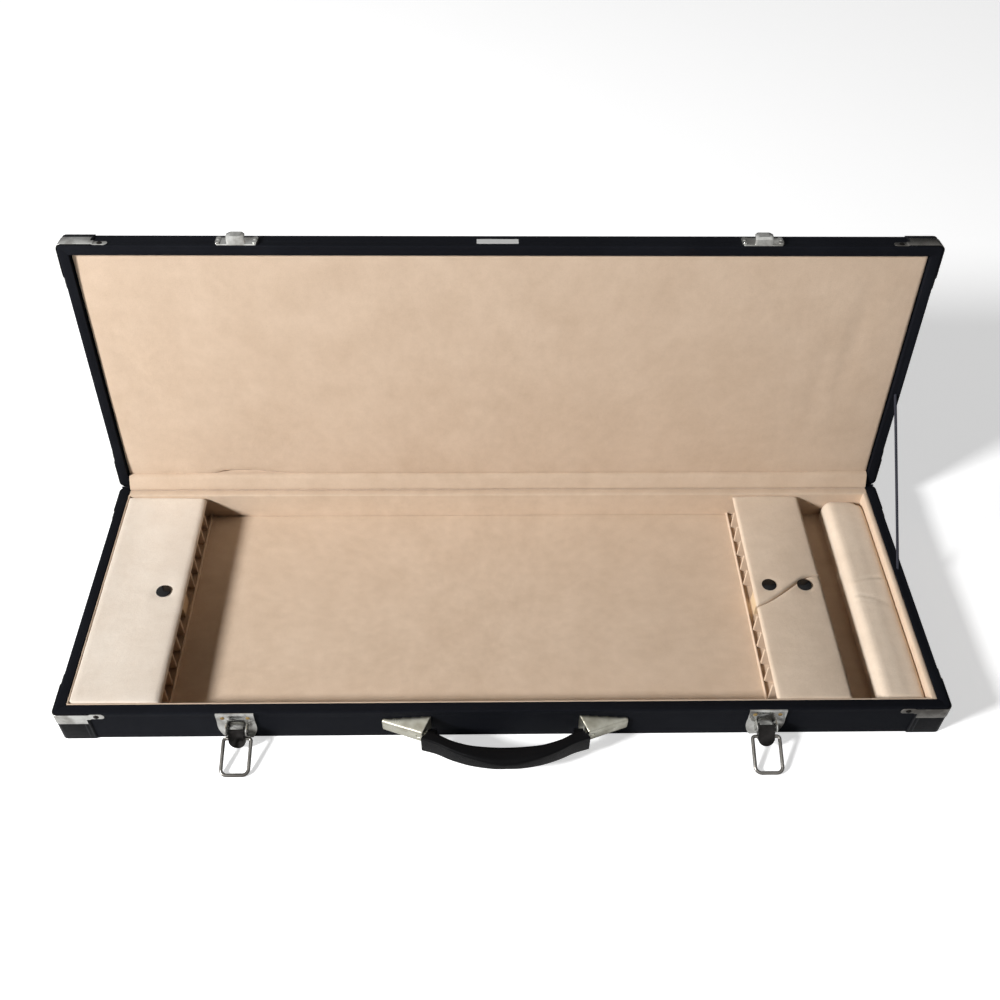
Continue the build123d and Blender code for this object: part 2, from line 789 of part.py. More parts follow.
def latch_bail(x, rest):
    """The wire bail, lying forward on the surface that the case stands on."""
    (pivot_y, pivot_z), dip = bail_rest(rest)
    lie = (0, -cos(radians(dip)), -sin(radians(dip)))
    lying = Plane(origin=(x, pivot_y, pivot_z), x_dir=(1, 0, 0), z_dir=Vector(1, 0, 0).cross(Vector(lie)))
    inner = lever_half_width - lever_sheet - 0.2
    with BuildPart() as bail:
        with BuildLine(lying) as wire:
            FilletPolyline(
                (inner, 0), (bail_half_width, 0), (bail_half_width, bail_reach),
                (-bail_half_width, bail_reach), (-bail_half_width, 0), (-inner, 0),
                radius=[2.6, bail_corner, bail_corner, 2.6],
            )
        with BuildSketch(Plane(origin=wire.line @ 0, z_dir=wire.line % 0)):
            Circle(bail_wire)
        sweep()
    return bail


for x, rest, side in zip(latch_x, latch_lever_rest, ("left", "right")):
    write(latch_base(x), f"{side}_latch_plate")
    write(latch_lever(x, rest), f"{side}_latch_lever")
    write(latch_bail(x, rest), f"{side}_latch_bail")
    pivot, dip = bail_rest(rest)
    print(f"{side} bail pivot y {pivot[0]:.3f} z {pivot[1]:.3f}, dip {dip:.2f} degrees, reach {bail_reach:.2f}")

with BuildPart() as latch_pins:
    for x in latch_x:
        with BuildSketch(Plane.YZ.offset(x - 10.6)):
            with Locations(lever_pivot):
                Circle(lever_pin_radius)
        extrude(amount=21.2)
write(latch_pins, "latch_pins")


def lid_catch(x):
    """The catch on the lid: a plate with two raised feet and a hook in the middle."""
    hook_floor = bail_seat[1] - bail_wire - 1.8
    hook_out = 8.4
    hook_sheet = 1.4
    lip_top = hook_floor + 7.4
    with BuildPart() as catch:
        with BuildSketch(on_lid(Plane.XZ.offset(-front))):
            with Locations((x, (catch_bottom + catch_top) / 2)):
                RectangleRounded(2 * catch_half_width, catch_top - catch_bottom, 2.5)
        extrude(amount=catch_plate)
        with BuildSketch(on_lid(Plane.XZ.offset(-front + catch_plate))):
            for side in (-1, 1):
                with Locations((x + side * 17.6, (catch_bottom + catch_top) / 2)):
                    RectangleRounded(4.4, 12.0, 1.4)
        extrude(amount=2.4 - catch_plate)
        with BuildSketch(on_lid(Plane.YZ.offset(x - hook_half_width))):
            with BuildLine():
                Polyline(
                    (front - catch_plate + 0.2, hook_floor), (front - hook_out + 2.0, hook_floor),
                    (front - hook_out, hook_floor + 2.0), (front - hook_out - 0.6, lip_top),
                    (front - hook_out - 0.6 + hook_sheet, lip_top),
                    (front - hook_out + hook_sheet, hook_floor + 2.4),
                    (front - hook_out + hook_sheet + 1.0, hook_floor + hook_sheet),
                    (front - catch_plate + 0.2, hook_floor + hook_sheet), close=True,
                )
            make_face()
        extrude(amount=2 * hook_half_width)
        with Locations(*catch_rivets_at):
            Cylinder(screw_radius, 8.0, mode=Mode.SUBTRACT)
    return catch


for x, side in zip(latch_x, ("left", "right")):
    write(lid_catch(x), f"{side}_lid_catch")


# Handle
def handle_cap(side):
    """A tapered metal cap with a ridge, cut off at a slant where the grip begins."""
    with BuildPart() as cap:
        for x, corners in cap_sections:
            with BuildSketch(Plane.YZ.offset(side * x)):
                with BuildLine():
                    Polyline(*[(front - reach, z) for reach, z in corners], close=True)
                make_face()
        loft(ruled=True)
        with BuildSketch(Plane.XY):
            with BuildLine():
                (wall_x, wall_reach), (ridge_x, ridge_reach) = cap_mouth
                far_x = ridge_x + (ridge_x - wall_x)
                far_reach = ridge_reach + (ridge_reach - wall_reach)
                Polyline(
                    (side * wall_x, front), (side * far_x, front - far_reach),
                    (side * (wall_x - 10.0), front - far_reach), (side * (wall_x - 10.0), front), close=True,
                )
            make_face()
        extrude(amount=base_height, mode=Mode.SUBTRACT)
        outer_edges = cap.edges().filter_by(
            lambda e: abs(e.center().X) > cap_mouth[1][0] + 1.0 and e.center().Y < front - 0.5
        )
        fillet(outer_edges, cap_edge_radius)
        with BuildSketch(Plane.YZ.offset(side * handle_pin_x[0])):
            with Locations(handle_pivot):
                Circle(handle_pin_radius + 0.02)
        extrude(amount=side * (handle_pin_x[1] - handle_pin_x[0] + 0.5), mode=Mode.SUBTRACT)
    return cap


write(handle_cap(-1), "left_handle_cap")
write(handle_cap(1), "right_handle_cap")

with BuildPart() as handle_pins:
    for side in (-1, 1):
        with BuildSketch(Plane.YZ.offset(side * handle_pin_x[0])):
            with Locations(handle_pivot):
                Circle(handle_pin_radius)
        extrude(amount=side * (handle_pin_x[1] - handle_pin_x[0]))
write(handle_pins, "handle_pins")

# Sections of half the grip: place along X, reach, half width, half height and corner radius
grip_sections = (
    (71.0, 19.0, 5.2, 11.0, 1.6),
    (62.6, 23.3, 5.4, 10.4, 1.8),
    (54.0, 28.9, 5.6, 10.0, 2.0),
    (45.0, 32.6, 6.1, 9.5, 2.4),
    (32.5, 36.2, 7.0, 8.8, 3.0),
    (14.5, 38.7, 8.8, 7.6, 4.2),
    (0.0, 39.2, 9.5, 7.0, 5.0),
)

with BuildPart() as handle_grip:
    ordered = [(-x, *rest) for x, *rest in grip_sections[:-1]] + list(reversed(grip_sections))
    for x, reach, half_width, half_height, corner in ordered:
        with BuildSketch(Plane.YZ.offset(x)):
            with Locations((front - reach, handle_pivot[1])):
                RectangleRounded(2 * half_width, 2 * half_height, corner)
    loft()
    for side in (-1, 1):
        with BuildSketch(Plane.XY.offset(handle_pivot[1] - grip_end_half_height)):
            with BuildLine():
                Polyline(*[(side * x, handle_pivot[0] - reach) for x, reach in grip_end], close=True)
            make_face()
        extrude(amount=2 * grip_end_half_height)
        with BuildSketch(Plane.YZ.offset(side * (handle_pin_x[1]))):
            with Locations(handle_pivot):
                Circle(handle_pin_radius + pin_clearance)
        extrude(amount=-side * (handle_pin_x[1] - handle_pin_x[0]), mode=Mode.SUBTRACT)
write(handle_grip, "handle_grip")

# Stay cord
with BuildPart() as stay_cord:
    with BuildSketch(stay_plane):
        Circle(stay_radius)
    extrude(amount=stay_length)
write(stay_cord, "stay_cord")
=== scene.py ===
# %% [markdown]
# # A flat violin bow case
# The case is a pair of shallow covered trays, joined by hinges along the back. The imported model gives
# the boards, hinges, bands and latches at their real size. This script dresses them: it makes the
# padded suede lining, the racks and flaps, the leather grip and the cord, and gives every surface the
# finish of the real one. All lengths are in metres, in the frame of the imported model.

# %% The tools and the frame
import json
import math

import bmesh
import bpy
from mathutils import Matrix, Vector, noise


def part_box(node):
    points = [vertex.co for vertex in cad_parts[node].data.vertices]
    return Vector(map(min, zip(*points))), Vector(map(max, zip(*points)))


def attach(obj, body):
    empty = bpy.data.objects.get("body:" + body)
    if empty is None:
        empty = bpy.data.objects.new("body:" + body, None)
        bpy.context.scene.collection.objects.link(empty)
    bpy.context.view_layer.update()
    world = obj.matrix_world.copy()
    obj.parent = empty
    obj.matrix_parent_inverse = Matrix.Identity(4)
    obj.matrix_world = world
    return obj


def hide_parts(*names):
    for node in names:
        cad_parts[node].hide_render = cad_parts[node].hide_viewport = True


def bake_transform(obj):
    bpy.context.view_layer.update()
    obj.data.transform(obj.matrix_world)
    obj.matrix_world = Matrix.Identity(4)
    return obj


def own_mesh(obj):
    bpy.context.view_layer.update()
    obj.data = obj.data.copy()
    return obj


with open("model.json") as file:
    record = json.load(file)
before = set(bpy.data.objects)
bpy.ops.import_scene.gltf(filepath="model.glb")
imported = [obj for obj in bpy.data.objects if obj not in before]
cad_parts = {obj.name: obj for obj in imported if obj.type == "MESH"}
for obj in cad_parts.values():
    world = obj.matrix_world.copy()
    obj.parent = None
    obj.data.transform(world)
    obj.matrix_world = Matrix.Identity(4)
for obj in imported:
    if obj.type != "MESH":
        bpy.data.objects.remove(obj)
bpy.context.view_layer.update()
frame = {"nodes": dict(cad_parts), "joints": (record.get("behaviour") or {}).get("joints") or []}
NODES = frame["nodes"]
mm = 0.001

# %% [markdown]
# ## Driving sizes
# Everything below is measured from the frame, so it follows the boards if they change. The lid is
# modelled on the closed case and then carried round the hinge, as a maker would line it flat on the
# bench before hanging it.

# %% Sizes read from the frame
base_low, base_high = (Vector(v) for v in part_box("base_front_wall"))
ends_low, ends_high = (Vector(v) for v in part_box("base_end_walls"))
half_length = ends_high.x
half_depth = -base_low.y
rim = base_high.z
wall = base_high.y - base_low.y
inner_x = half_length - wall
inner_y = half_depth - wall
lid_joint = next(j for j in frame["joints"] if j["name"] == "lid_hinge")
hinge = Vector(lid_joint["pos_m"])
lid_open = math.radians(-lid_joint["range_deg"][0])
lid_rim = rim + 0.4 * mm
lid_turn = Matrix.Translation(hinge) @ Matrix.Rotation(-lid_open, 4, "X") @ Matrix.Translation(-hinge)
print("case", round(2 * half_length, 4), round(2 * half_depth, 4), round(rim, 4))

# %% [markdown]
# ## The camera first
# The camera stands where the photograph was taken: a little left of the middle, above the front of the
# case and looking down at 46 degrees. A lens of 39.6 mm on a 36 mm sensor gives the photograph's
# perspective.

# %% Camera
camera_place = Vector((-0.0258, -0.7198, 0.9311))
camera_pitch = math.radians(46.38)
camera_yaw = math.radians(1.70)
camera_roll = math.radians(1.05)
camera_lens = 39.62

forward = Vector((
    math.sin(camera_yaw) * math.cos(camera_pitch),
    math.cos(camera_yaw) * math.cos(camera_pitch),
    -math.sin(camera_pitch),
))
level_right = Vector((math.cos(camera_yaw), -math.sin(camera_yaw), 0))
level_up = level_right.cross(forward)
right = math.cos(camera_roll) * level_right + math.sin(camera_roll) * level_up
up = -math.sin(camera_roll) * level_right + math.cos(camera_roll) * level_up
camera = bpy.data.objects.new("camera", bpy.data.cameras.new("camera"))
camera.data.lens = camera_lens
camera.data.sensor_width = 36
camera.data.clip_end = 50
camera.matrix_world = Matrix((
    (right.x, up.x, -forward.x, camera_place.x),
    (right.y, up.y, -forward.y, camera_place.y),
    (right.z, up.z, -forward.z, camera_place.z),
    (0, 0, 0, 1),
))
bpy.context.scene.collection.objects.link(camera)
bpy.context.scene.camera = camera
bpy.context.scene.view_settings.view_transform = "Standard"
print("camera", tuple(round(v, 3) for v in camera_place))

# %% [markdown]
# ## Light and floor
# One large soft lamp stands to the front left, so the left rack throws its shadow on the floor of the
# case as in the photograph. The world fills the shadows a little and is plain white to the eye. Polished
# metal sees a room in it that is bright on the lamp's side and dim on the other. The floor is pale and keeps the shadow of the case.

# %% Light and floor
key_place = Vector((-2.90, -1.51, 1.83))
key_size = 0.62
key_power = 200.0
fill_strength = 0.012

key = bpy.data.objects.new("key_lamp", bpy.data.lights.new("key_lamp", "AREA"))
key.data.shape = "DISK"
key.data.size = key_size
key.data.energy = key_power
key.location = key_place
key.rotation_euler = key_place.to_track_quat("Z", "Y").to_euler()
bpy.context.scene.collection.objects.link(key)

world = bpy.data.worlds.new("studio")
bpy.context.scene.world = world
world.use_nodes = True
sky = world.node_tree.nodes["Background"]
path = world.node_tree.nodes.new("ShaderNodeLightPath")


def world_math(operation, first, second):
    """One step of arithmetic in the world's nodes."""
    step = world.node_tree.nodes.new("ShaderNodeMath")
    step.operation = operation
    for socket, value in zip(step.inputs, (first, second)):
        if isinstance(value, float):
            socket.default_value = value
        else:
            world.node_tree.links.new(value, socket)
    return step.outputs[0]


towards = world.node_tree.nodes.new("ShaderNodeVectorMath")
towards.operation = "DOT_PRODUCT"
towards.inputs[1].default_value = (-0.60, -0.35, 0.72)
world.node_tree.links.new(world.node_tree.nodes.new("ShaderNodeTexCoord").outputs["Generated"], towards.inputs[0])
room = world_math("MULTIPLY", towards.outputs["Value"], 0.75)
room = world_math("MAXIMUM", world_math("ADD", room, 0.4), 0.04)
seen = world_math("MAXIMUM", path.outputs["Is Camera Ray"], path.outputs["Is Transmission Ray"])
seen = world_math("MAXIMUM", seen, world_math("MULTIPLY", path.outputs["Is Glossy Ray"], room))
world.node_tree.links.new(world_math("MAXIMUM", seen, fill_strength), sky.inputs["Strength"])
sky.inputs["Color"].default_value = (1, 1, 1, 1)


# %% [markdown]
# ## Small helpers for finishes
# A finish is one shader with a few textures in front of it. These helpers add a node, link it and hand
# back its output, so that each finish below reads as a recipe.

# %% Helpers for finishes
def srgb(red, green, blue):
    """A colour as a painter reads it, 0 to 255, in the linear numbers that the shader takes."""
    def linear(value):
        value /= 255
        return value / 12.92 if value <= 0.04045 else ((value + 0.055) / 1.055) ** 2.4
    return (linear(red), linear(green), linear(blue), 1.0)


class Finish:
    """A material with one shader, and short ways to add textures to it."""

    def __init__(self, name, roughness=0.5, metallic=0.0, **sockets):
        self.material = bpy.data.materials.new(name)
        self.material.use_nodes = True
        self.tree = self.material.node_tree
        self.shader = self.tree.nodes["Principled BSDF"]
        self.set("Roughness", roughness)
        self.set("Metallic", metallic)
        for socket, value in sockets.items():
            self.set(socket.replace("_", " "), value)
        self.place = self.add("ShaderNodeTexCoord").outputs["Object"]

    def set(self, socket, value):
        self.shader.inputs[socket].default_value = value

    def add(self, kind, **settings):
        made = self.tree.nodes.new(kind)
        for name, value in settings.items():
            setattr(made, name, value)
        return made

    def feed(self, source, socket):
        if isinstance(source, (int, float, tuple)):
            socket.default_value = source
        else:
            self.tree.links.new(source, socket)

    def math(self, operation, first, second=0.0, third=0.0):
        step = self.add("ShaderNodeMath", operation=operation)
        for value, socket in zip((first, second, third), step.inputs):
            self.feed(value, socket)
        return step.outputs[0]

    def noise(self, scale, detail=2.0, roughness=0.5, place=None):
        made = self.add("ShaderNodeTexNoise")
        self.feed(place or self.place, made.inputs["Vector"])
        made.inputs["Scale"].default_value = scale
        made.inputs["Detail"].default_value = detail
        made.inputs["Roughness"].default_value = roughness
        return made.outputs["Fac"]

    def between(self, low, high, source, start=0.0, end=1.0):
        made = self.add("ShaderNodeMapRange")
        made.clamp = True
        self.feed(source, made.inputs["Value"])
        for name, value in (("From Min", start), ("From Max", end), ("To Min", low), ("To Max", high)):
            made.inputs[name].default_value = value
        return made.outputs["Result"]

    def blend(self, first, second, factor, kind="MIX"):
        made = self.add("ShaderNodeMix", data_type="RGBA", blend_type=kind)
        self.feed(factor, made.inputs["Factor"])
        self.feed(first, made.inputs["A"])
        self.feed(second, made.inputs["B"])
        return made.outputs["Result"]

    def colour(self, source):
        self.feed(source, self.shader.inputs["Base Color"])

    def rough(self, source):
        self.feed(source, self.shader.inputs["Roughness"])

    def bump(self, height, distance, strength=1.0):
        made = self.add("ShaderNodeBump")
        made.inputs["Distance"].default_value = distance
        made.inputs["Strength"].default_value = strength
        self.feed(height, made.inputs["Height"])
        self.feed(made.outputs["Normal"], self.shader.inputs["Normal"])

    def turned(self, angle, about=Vector((0, 0, 0))):
        """The object's place, turned about a line along X so that it lies square to the closed lid."""
        made = self.add("ShaderNodeMapping", vector_type="POINT")
        made.inputs["Rotation"].default_value = (angle, 0, 0)
        made.inputs["Location"].default_value = about - Matrix.Rotation(angle, 3, "X") @ about
        self.feed(self.place, made.inputs["Vector"])
        return made.outputs["Vector"]


# %% [markdown]
# ## Black covering cloth
# The boards are wrapped in a fine black cloth with a close weave. The weave is two sets of threads at a
# right angle. Each face needs the two threads that lie in it, so the three pairs of threads are mixed by
# the face's direction. The lid has its own copy, turned with it, so its threads run along its edges.

# %% Black covering cloth
thread_pitch = 0.9 * mm


def weave(finish, place, normal, pitch):
    """The height of a plain weave on faces that lie square to the axes of place."""
    split = finish.add("ShaderNodeSeparateXYZ")
    finish.feed(place, split.inputs[0])
    facing = finish.add("ShaderNodeSeparateXYZ")
    finish.feed(normal, facing.inputs[0])
    rows = [
        finish.math("SINE", finish.math("MULTIPLY", axis, 2 * math.pi / pitch)) for axis in split.outputs
    ]
    height = None
    for across, first, second in ((0, 1, 2), (1, 0, 2), (2, 0, 1)):
        cross = finish.math("MULTIPLY", rows[first], rows[second])
        part = finish.math("MULTIPLY", cross, finish.math("ABSOLUTE", facing.outputs[across]))
        height = part if height is None else finish.math("ADD", height, part)
    return height


def covering_cloth(name, angle):
    """Black woven covering; angle turns the weave with the lid."""
    cloth = Finish(name, roughness=0.7)
    cloth.set("Specular IOR Level", 0.05)
    place = cloth.turned(angle)
    normal = cloth.add("ShaderNodeMapping", vector_type="NORMAL")
    normal.inputs["Rotation"].default_value = (angle, 0, 0)
    cloth.feed(cloth.add("ShaderNodeTexCoord").outputs["Normal"], normal.inputs["Vector"])
    threads = weave(cloth, place, normal.outputs["Vector"], thread_pitch)
    slub = cloth.noise(900.0, 3.0)
    cloudy = cloth.noise(14.0, 3.0)
    tone = cloth.between(0.0, 1.0, threads, -1.0, 1.0)
    black = cloth.blend(srgb(10, 11, 15), srgb(25, 27, 33), tone)
    worn = cloth.blend(black, srgb(36, 38, 44), cloth.between(0.0, 0.3, cloudy, 0.5, 0.8))
    cloth.colour(worn)
    cloth.rough(cloth.between(0.5, 0.75, slub))
    cloth.bump(cloth.math("ADD", threads, cloth.math("MULTIPLY", slub, 0.8)), 0.12 * mm, 0.8)
    return cloth.material


base_cloth = covering_cloth("black covering of the base", 0.0)
lid_cloth = covering_cloth("black covering of the lid", lid_open)


# %% [markdown]
# ## Suede lining
# The lining is a short-napped suede cloth. Its nap lies a little this way and that, which shows as soft
# clouds of lighter and darker beige, and the nap itself is a very fine, even grain.

# %% Suede lining
def suede(name, light, dark, nap=1.0):
    """Beige suede with clouds in its nap."""
    cloth = Finish(name, roughness=0.9, Sheen_Weight=0.25, Sheen_Roughness=0.4)
    cloth.set("Specular IOR Level", 0.2)
    clouds = cloth.noise(22.0, 4.0, 0.6)
    patches = cloth.noise(90.0, 3.0, 0.6)
    grain = cloth.noise(1600.0, 2.0, 0.6)
    tone = cloth.math("ADD", cloth.math("MULTIPLY", clouds, 0.6), cloth.math("MULTIPLY", patches, 0.4))
    base = cloth.blend(dark, light, cloth.between(0.0, 1.0, tone, 0.3, 0.7))
    cloth.colour(cloth.blend(base, srgb(120, 92, 70), cloth.between(0.16, 0.0, grain, 0.25, 0.55)))
    cloth.rough(cloth.between(0.8, 1.0, patches))
    height = cloth.math("ADD", grain, cloth.math("MULTIPLY", patches, 1.6 * nap))
    cloth.bump(height, 0.25 * mm, 0.7)
    return cloth.material


lining_suede = suede("beige suede lining", srgb(223, 201, 178), srgb(208, 185, 161))
# Painted light: the same suede as the lining, painted lighter on the flaps.
flap_suede_painted_light = suede("beige suede of the flaps, painted lighter", srgb(228, 209, 188), srgb(213, 193, 171))
# Painted light: the same suede as the lining, painted lighter on the bolster.
roll_suede_painted_light = suede("beige suede of the bolster, painted lighter", srgb(238, 221, 201), srgb(224, 206, 185))
# Painted light: the same suede as the lining, painted lighter where the lamp falls most strongly, on the tip flap.
tip_suede_painted_light = suede("beige suede of the tip flap, painted lighter", srgb(243, 232, 218), srgb(232, 218, 202))
# Painted shade: the same suede as the lining, painted darker on the lid and on the cloth over the hinge.
lid_suede_painted_shade = suede("beige suede of the lid, painted darker", srgb(217, 194, 171), srgb(203, 179, 155))


# %% [markdown]
# ## Metals, leather, wood and cord
# The nickel has light wear: its roughness wanders, and fine scratches run in all directions. The caps of
# the handle have a warmer satin plate. Screws are blackened and snap caps enamelled.

# %% Metals
def plated(name, colour, dull, low, high, scratch):
    """Plated metal with cloudy polish and fine scratches."""
    metal = Finish(name, metallic=1.0)
    cloudy = metal.noise(70.0, 3.0, 0.5)
    fine = metal.noise(2600.0, 3.0, 0.7)
    metal.colour(metal.blend(dull, colour, metal.between(0.0, 1.0, cloudy, 0.35, 0.6)))
    metal.rough(metal.between(high, low, cloudy, 0.35, 0.65))
    metal.bump(metal.math("ADD", metal.math("MULTIPLY", cloudy, 2.0), fine), scratch)
    return metal.material


nickel = plated("worn nickel", srgb(212, 212, 208), srgb(158, 156, 151), 0.12, 0.26, 0.03 * mm)
# A darker copy of the nickel. On the right-hand bands it is painted shade: the same plate, darkened because it
# reflects a dim room there. The bails and the hooks of the catches use it too.
darker_nickel = plated("darker nickel", srgb(132, 129, 124), srgb(98, 95, 91), 0.2, 0.36, 0.03 * mm)
smoky_nickel = plated("smoky nickel of the levers", srgb(56, 54, 53), srgb(30, 29, 28), 0.12, 0.28, 0.03 * mm)
satin_nickel = plated("warm satin nickel", srgb(200, 198, 184), srgb(168, 164, 148), 0.26, 0.4, 0.03 * mm)
brass = plated("plain brass", srgb(186, 158, 104), srgb(132, 106, 64), 0.25, 0.45, 0.03 * mm)
dark_steel = plated("blackened steel", srgb(58, 54, 51), srgb(28, 26, 24), 0.3, 0.5, 0.03 * mm)


# %% Enamel, leather, wood and cord
def enamel():
    """Glossy black enamel of the snap caps."""
    paint = Finish("black enamel", roughness=0.14)
    paint.set("Specular IOR Level", 0.3)
    cloudy = paint.noise(240.0, 3.0)
    paint.colour(paint.blend(srgb(4, 4, 5), srgb(12, 12, 13), cloudy))
    paint.rough(paint.between(0.08, 0.2, cloudy))
    paint.bump(cloudy, 0.04 * mm, 0.5)
    return paint.material


def pressed_lines(skin, angle, distances):
    """Raised lines at given distances from the nearest corner of the case; angle turns them with the lid."""
    split = skin.add("ShaderNodeSeparateXYZ")
    skin.feed(skin.turned(angle, hinge), split.inputs[0])
    from_end = skin.math("SUBTRACT", half_length, skin.math("ABSOLUTE", split.outputs["X"]))
    from_side = skin.math("SUBTRACT", half_depth, skin.math("ABSOLUTE", split.outputs["Y"]))
    reach = skin.math("MAXIMUM", from_end, from_side)
    lines = None
    for distance in distances:
        off = skin.math("ABSOLUTE", skin.math("SUBTRACT", reach, distance))
        line = skin.between(1.0, 0.0, off, 0.25 * mm, 0.9 * mm)
        lines = line if lines is None else skin.math("MAXIMUM", lines, line)
    return lines


def leather(name, dark, light, pore, roughness, angle=None):
    """Black leatherette with a fine pored grain, and pressed lines where an angle is given."""
    skin = Finish(name, roughness=roughness)
    skin.set("Specular IOR Level", 0.08)
    cells = skin.add("ShaderNodeTexVoronoi", feature="DISTANCE_TO_EDGE")
    skin.feed(skin.place, cells.inputs["Vector"])
    cells.inputs["Scale"].default_value = 1 / pore
    crease = skin.between(0.0, 1.0, cells.outputs["Distance"], 0.0, 0.22)
    cloudy = skin.noise(60.0, 3.0)
    tone = skin.blend(dark, light, skin.math("MULTIPLY", crease, skin.between(0.5, 1.0, cloudy)))
    height = skin.math("ADD", crease, skin.math("MULTIPLY", cloudy, 2.0))
    if angle is not None:
        lines = pressed_lines(skin, angle, (27.6 * mm, 31.4 * mm))
        # The pressed lines are painted lighter: a painted highlight along their raised ridges, whose real relief is
        # the bump below.
        tone = skin.blend(tone, srgb(42, 43, 47), skin.math("MULTIPLY", lines, 0.8))
        height = skin.math("ADD", height, skin.math("MULTIPLY", lines, 6.0))
    skin.colour(tone)
    skin.rough(skin.between(roughness + 0.12, roughness - 0.04, crease))
    skin.bump(height, 0.07 * mm, 0.8)
    return skin.material


def plain_wood():
    """Unvarnished wood of the blocks in the racks."""
    wood = Finish("plain wood", roughness=0.7)
    rings = wood.add("ShaderNodeTexWave", bands_direction="Y")
    wood.feed(wood.place, rings.inputs["Vector"])
    rings.inputs["Scale"].default_value = 120.0
    rings.inputs["Distortion"].default_value = 4.0
    wood.colour(wood.blend(srgb(205, 178, 142), srgb(218, 194, 160), rings.outputs["Fac"]))
    wood.bump(rings.outputs["Fac"], 0.1 * mm, 0.5)
    return wood.material


def braided(name):
    """Dark braided cord; its braid follows the cord's own length."""
    cord = Finish(name, roughness=0.75)
    strands = cord.add("ShaderNodeTexWave", bands_direction="DIAGONAL")
    cord.feed(cord.place, strands.inputs["Vector"])
    strands.inputs["Scale"].default_value = 260.0
    cord.colour(cord.blend(srgb(12, 13, 20), srgb(36, 38, 54), strands.outputs["Fac"]))
    cord.bump(strands.outputs["Fac"], 0.25 * mm)
    return cord.material


black_enamel = enamel()
grip_leather = leather("grip leatherette", srgb(4, 4, 5), srgb(11, 11, 13), 0.9 * mm, 0.34)
patch_leather = leather("corner leatherette of the base", srgb(5, 5, 7), srgb(20, 21, 25), 0.8 * mm, 0.42, 0.0)
lid_patch_leather = leather("corner leatherette of the lid", srgb(5, 5, 7), srgb(20, 21, 25), 0.8 * mm, 0.42, lid_open)
wood = plain_wood()
cord_braid = braided("dark braided cord")
print("finishes", len(bpy.data.materials))


# %% [markdown]
# ## The finish of the pieces that stay as they are
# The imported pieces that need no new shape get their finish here. A narrow bevel on the metal pieces
# catches the light along their edges.

# %% Finishes by name
plain_pieces = {
    base_cloth: ["base_front_wall", "base_back_wall", "base_end_walls", "base_panel"],
    lid_cloth: ["lid_front_wall", "lid_back_wall", "lid_end_walls", "lid_panel"],
    patch_leather: ["base_corner_patches"],
    lid_patch_leather: ["lid_corner_patches"],
    nickel: [n for n in NODES if "_band_" in n or "_latch_" in n or "lid_catch" in n] + ["catch_rivets", "latch_pins"],
    satin_nickel: ["left_handle_cap", "right_handle_cap", "handle_pins"],
    brass: ["latch_rivets", "snap_studs", "hinge_base_leaves", "hinge_lid_leaves", "hinge_pins"],
    dark_steel: ["base_corner_screws", "lid_corner_screws", "hinge_base_screws", "hinge_lid_screws"],
    black_enamel: ["tip_snap_cap", "frog_back_snap_cap", "frog_front_snap_cap"],
    grip_leather: ["handle_grip"],
    wood: ["tip_rack_block", "frog_rack_block"],
    lining_suede: ["floor_pad", "wall_linings", "tip_rack", "frog_rack", "end_cushion"],
    flap_suede_painted_light: ["tip_flap", "frog_back_flap", "frog_front_flap"],
    lid_suede_painted_shade: ["lid_pad", "base_hinge_lining", "lid_hinge_lining"],
    cord_braid: ["stay_cord"],
}
for material, names in plain_pieces.items():
    for name in names:
        NODES[name].data.materials.clear()
        NODES[name].data.materials.append(material)
print("finished", sum(len(names) for names in plain_pieces.values()), "of", len(NODES))

# %% [markdown]
# ## Building with loops
# Padding, strips of lining, the grip and the bent sheet pieces are all made the same way: a row of closed
# outlines, one after the other, skinned with quads and closed at both ends. It could be done with a
# sculpted block, but outlines keep the edges where the maker's patterns put them.

# %% Skinning a row of outlines
def skin(name, outlines, material, place=None, round_trip=False, crisp=38.0):
    """A closed surface through a row of outlines with the same number of points."""
    made = bmesh.new()
    rows = [[made.verts.new(point) for point in outline] for outline in outlines]
    pairs = list(zip(rows, rows[1:]))
    if round_trip:
        pairs.append((rows[-1], rows[0]))
    for row, following in pairs:
        for k in range(len(row)):
            after = (k + 1) % len(row)
            made.faces.new((row[k], row[after], following[after], following[k]))
    if not round_trip:
        made.faces.new(rows[0])
        made.faces.new(rows[-1])
    if place is not None:
        bmesh.ops.transform(made, matrix=place, verts=made.verts)
    return finished(name, made, material, crisp)


def finished(name, made, material, crisp=38.0):
    """The edited mesh as an object with one finish, smooth where its faces meet gently."""
    bmesh.ops.remove_doubles(made, verts=made.verts, dist=0.001 * mm)
    bmesh.ops.recalc_face_normals(made, faces=made.faces)
    mesh = bpy.data.meshes.new(name)
    made.to_mesh(mesh)
    made.free()
    mesh.polygons.foreach_set("use_smooth", [True] * len(mesh.polygons))
    mesh.set_sharp_from_angle(angle=math.radians(crisp))
    mesh.materials.append(material)
    piece = bpy.data.objects.new(name, mesh)
    bpy.context.scene.collection.objects.link(piece)
    return piece


def rise(distance, roll):
    """The height of a rounded edge, from 0 at the seam to 1 where the roll ends."""
    return math.sqrt(max(0.0, 1 - (1 - min(distance / roll, 1.0)) ** 2))


def spread(low, high, step, rolls, count=0):
    """Places from low to high: close together in the roll of each edge and even between them."""
    ease = [1 - math.cos(math.radians(90 * k / 6)) for k in range(6)]
    inner = high - low - rolls[0] - rolls[1]
    count = count or max(2, round(inner / step))
    middle = [low + rolls[0] + inner * k / count for k in range(count + 1)]
    return [low + rolls[0] * e for e in ease] + middle + [high - rolls[1] * e for e in reversed(ease)]


def wander(x, y, size, seed):
    """Smooth noise between -1 and 1 with features of about the given size."""
    return noise.noise(Vector((x / size, y / size, seed)))


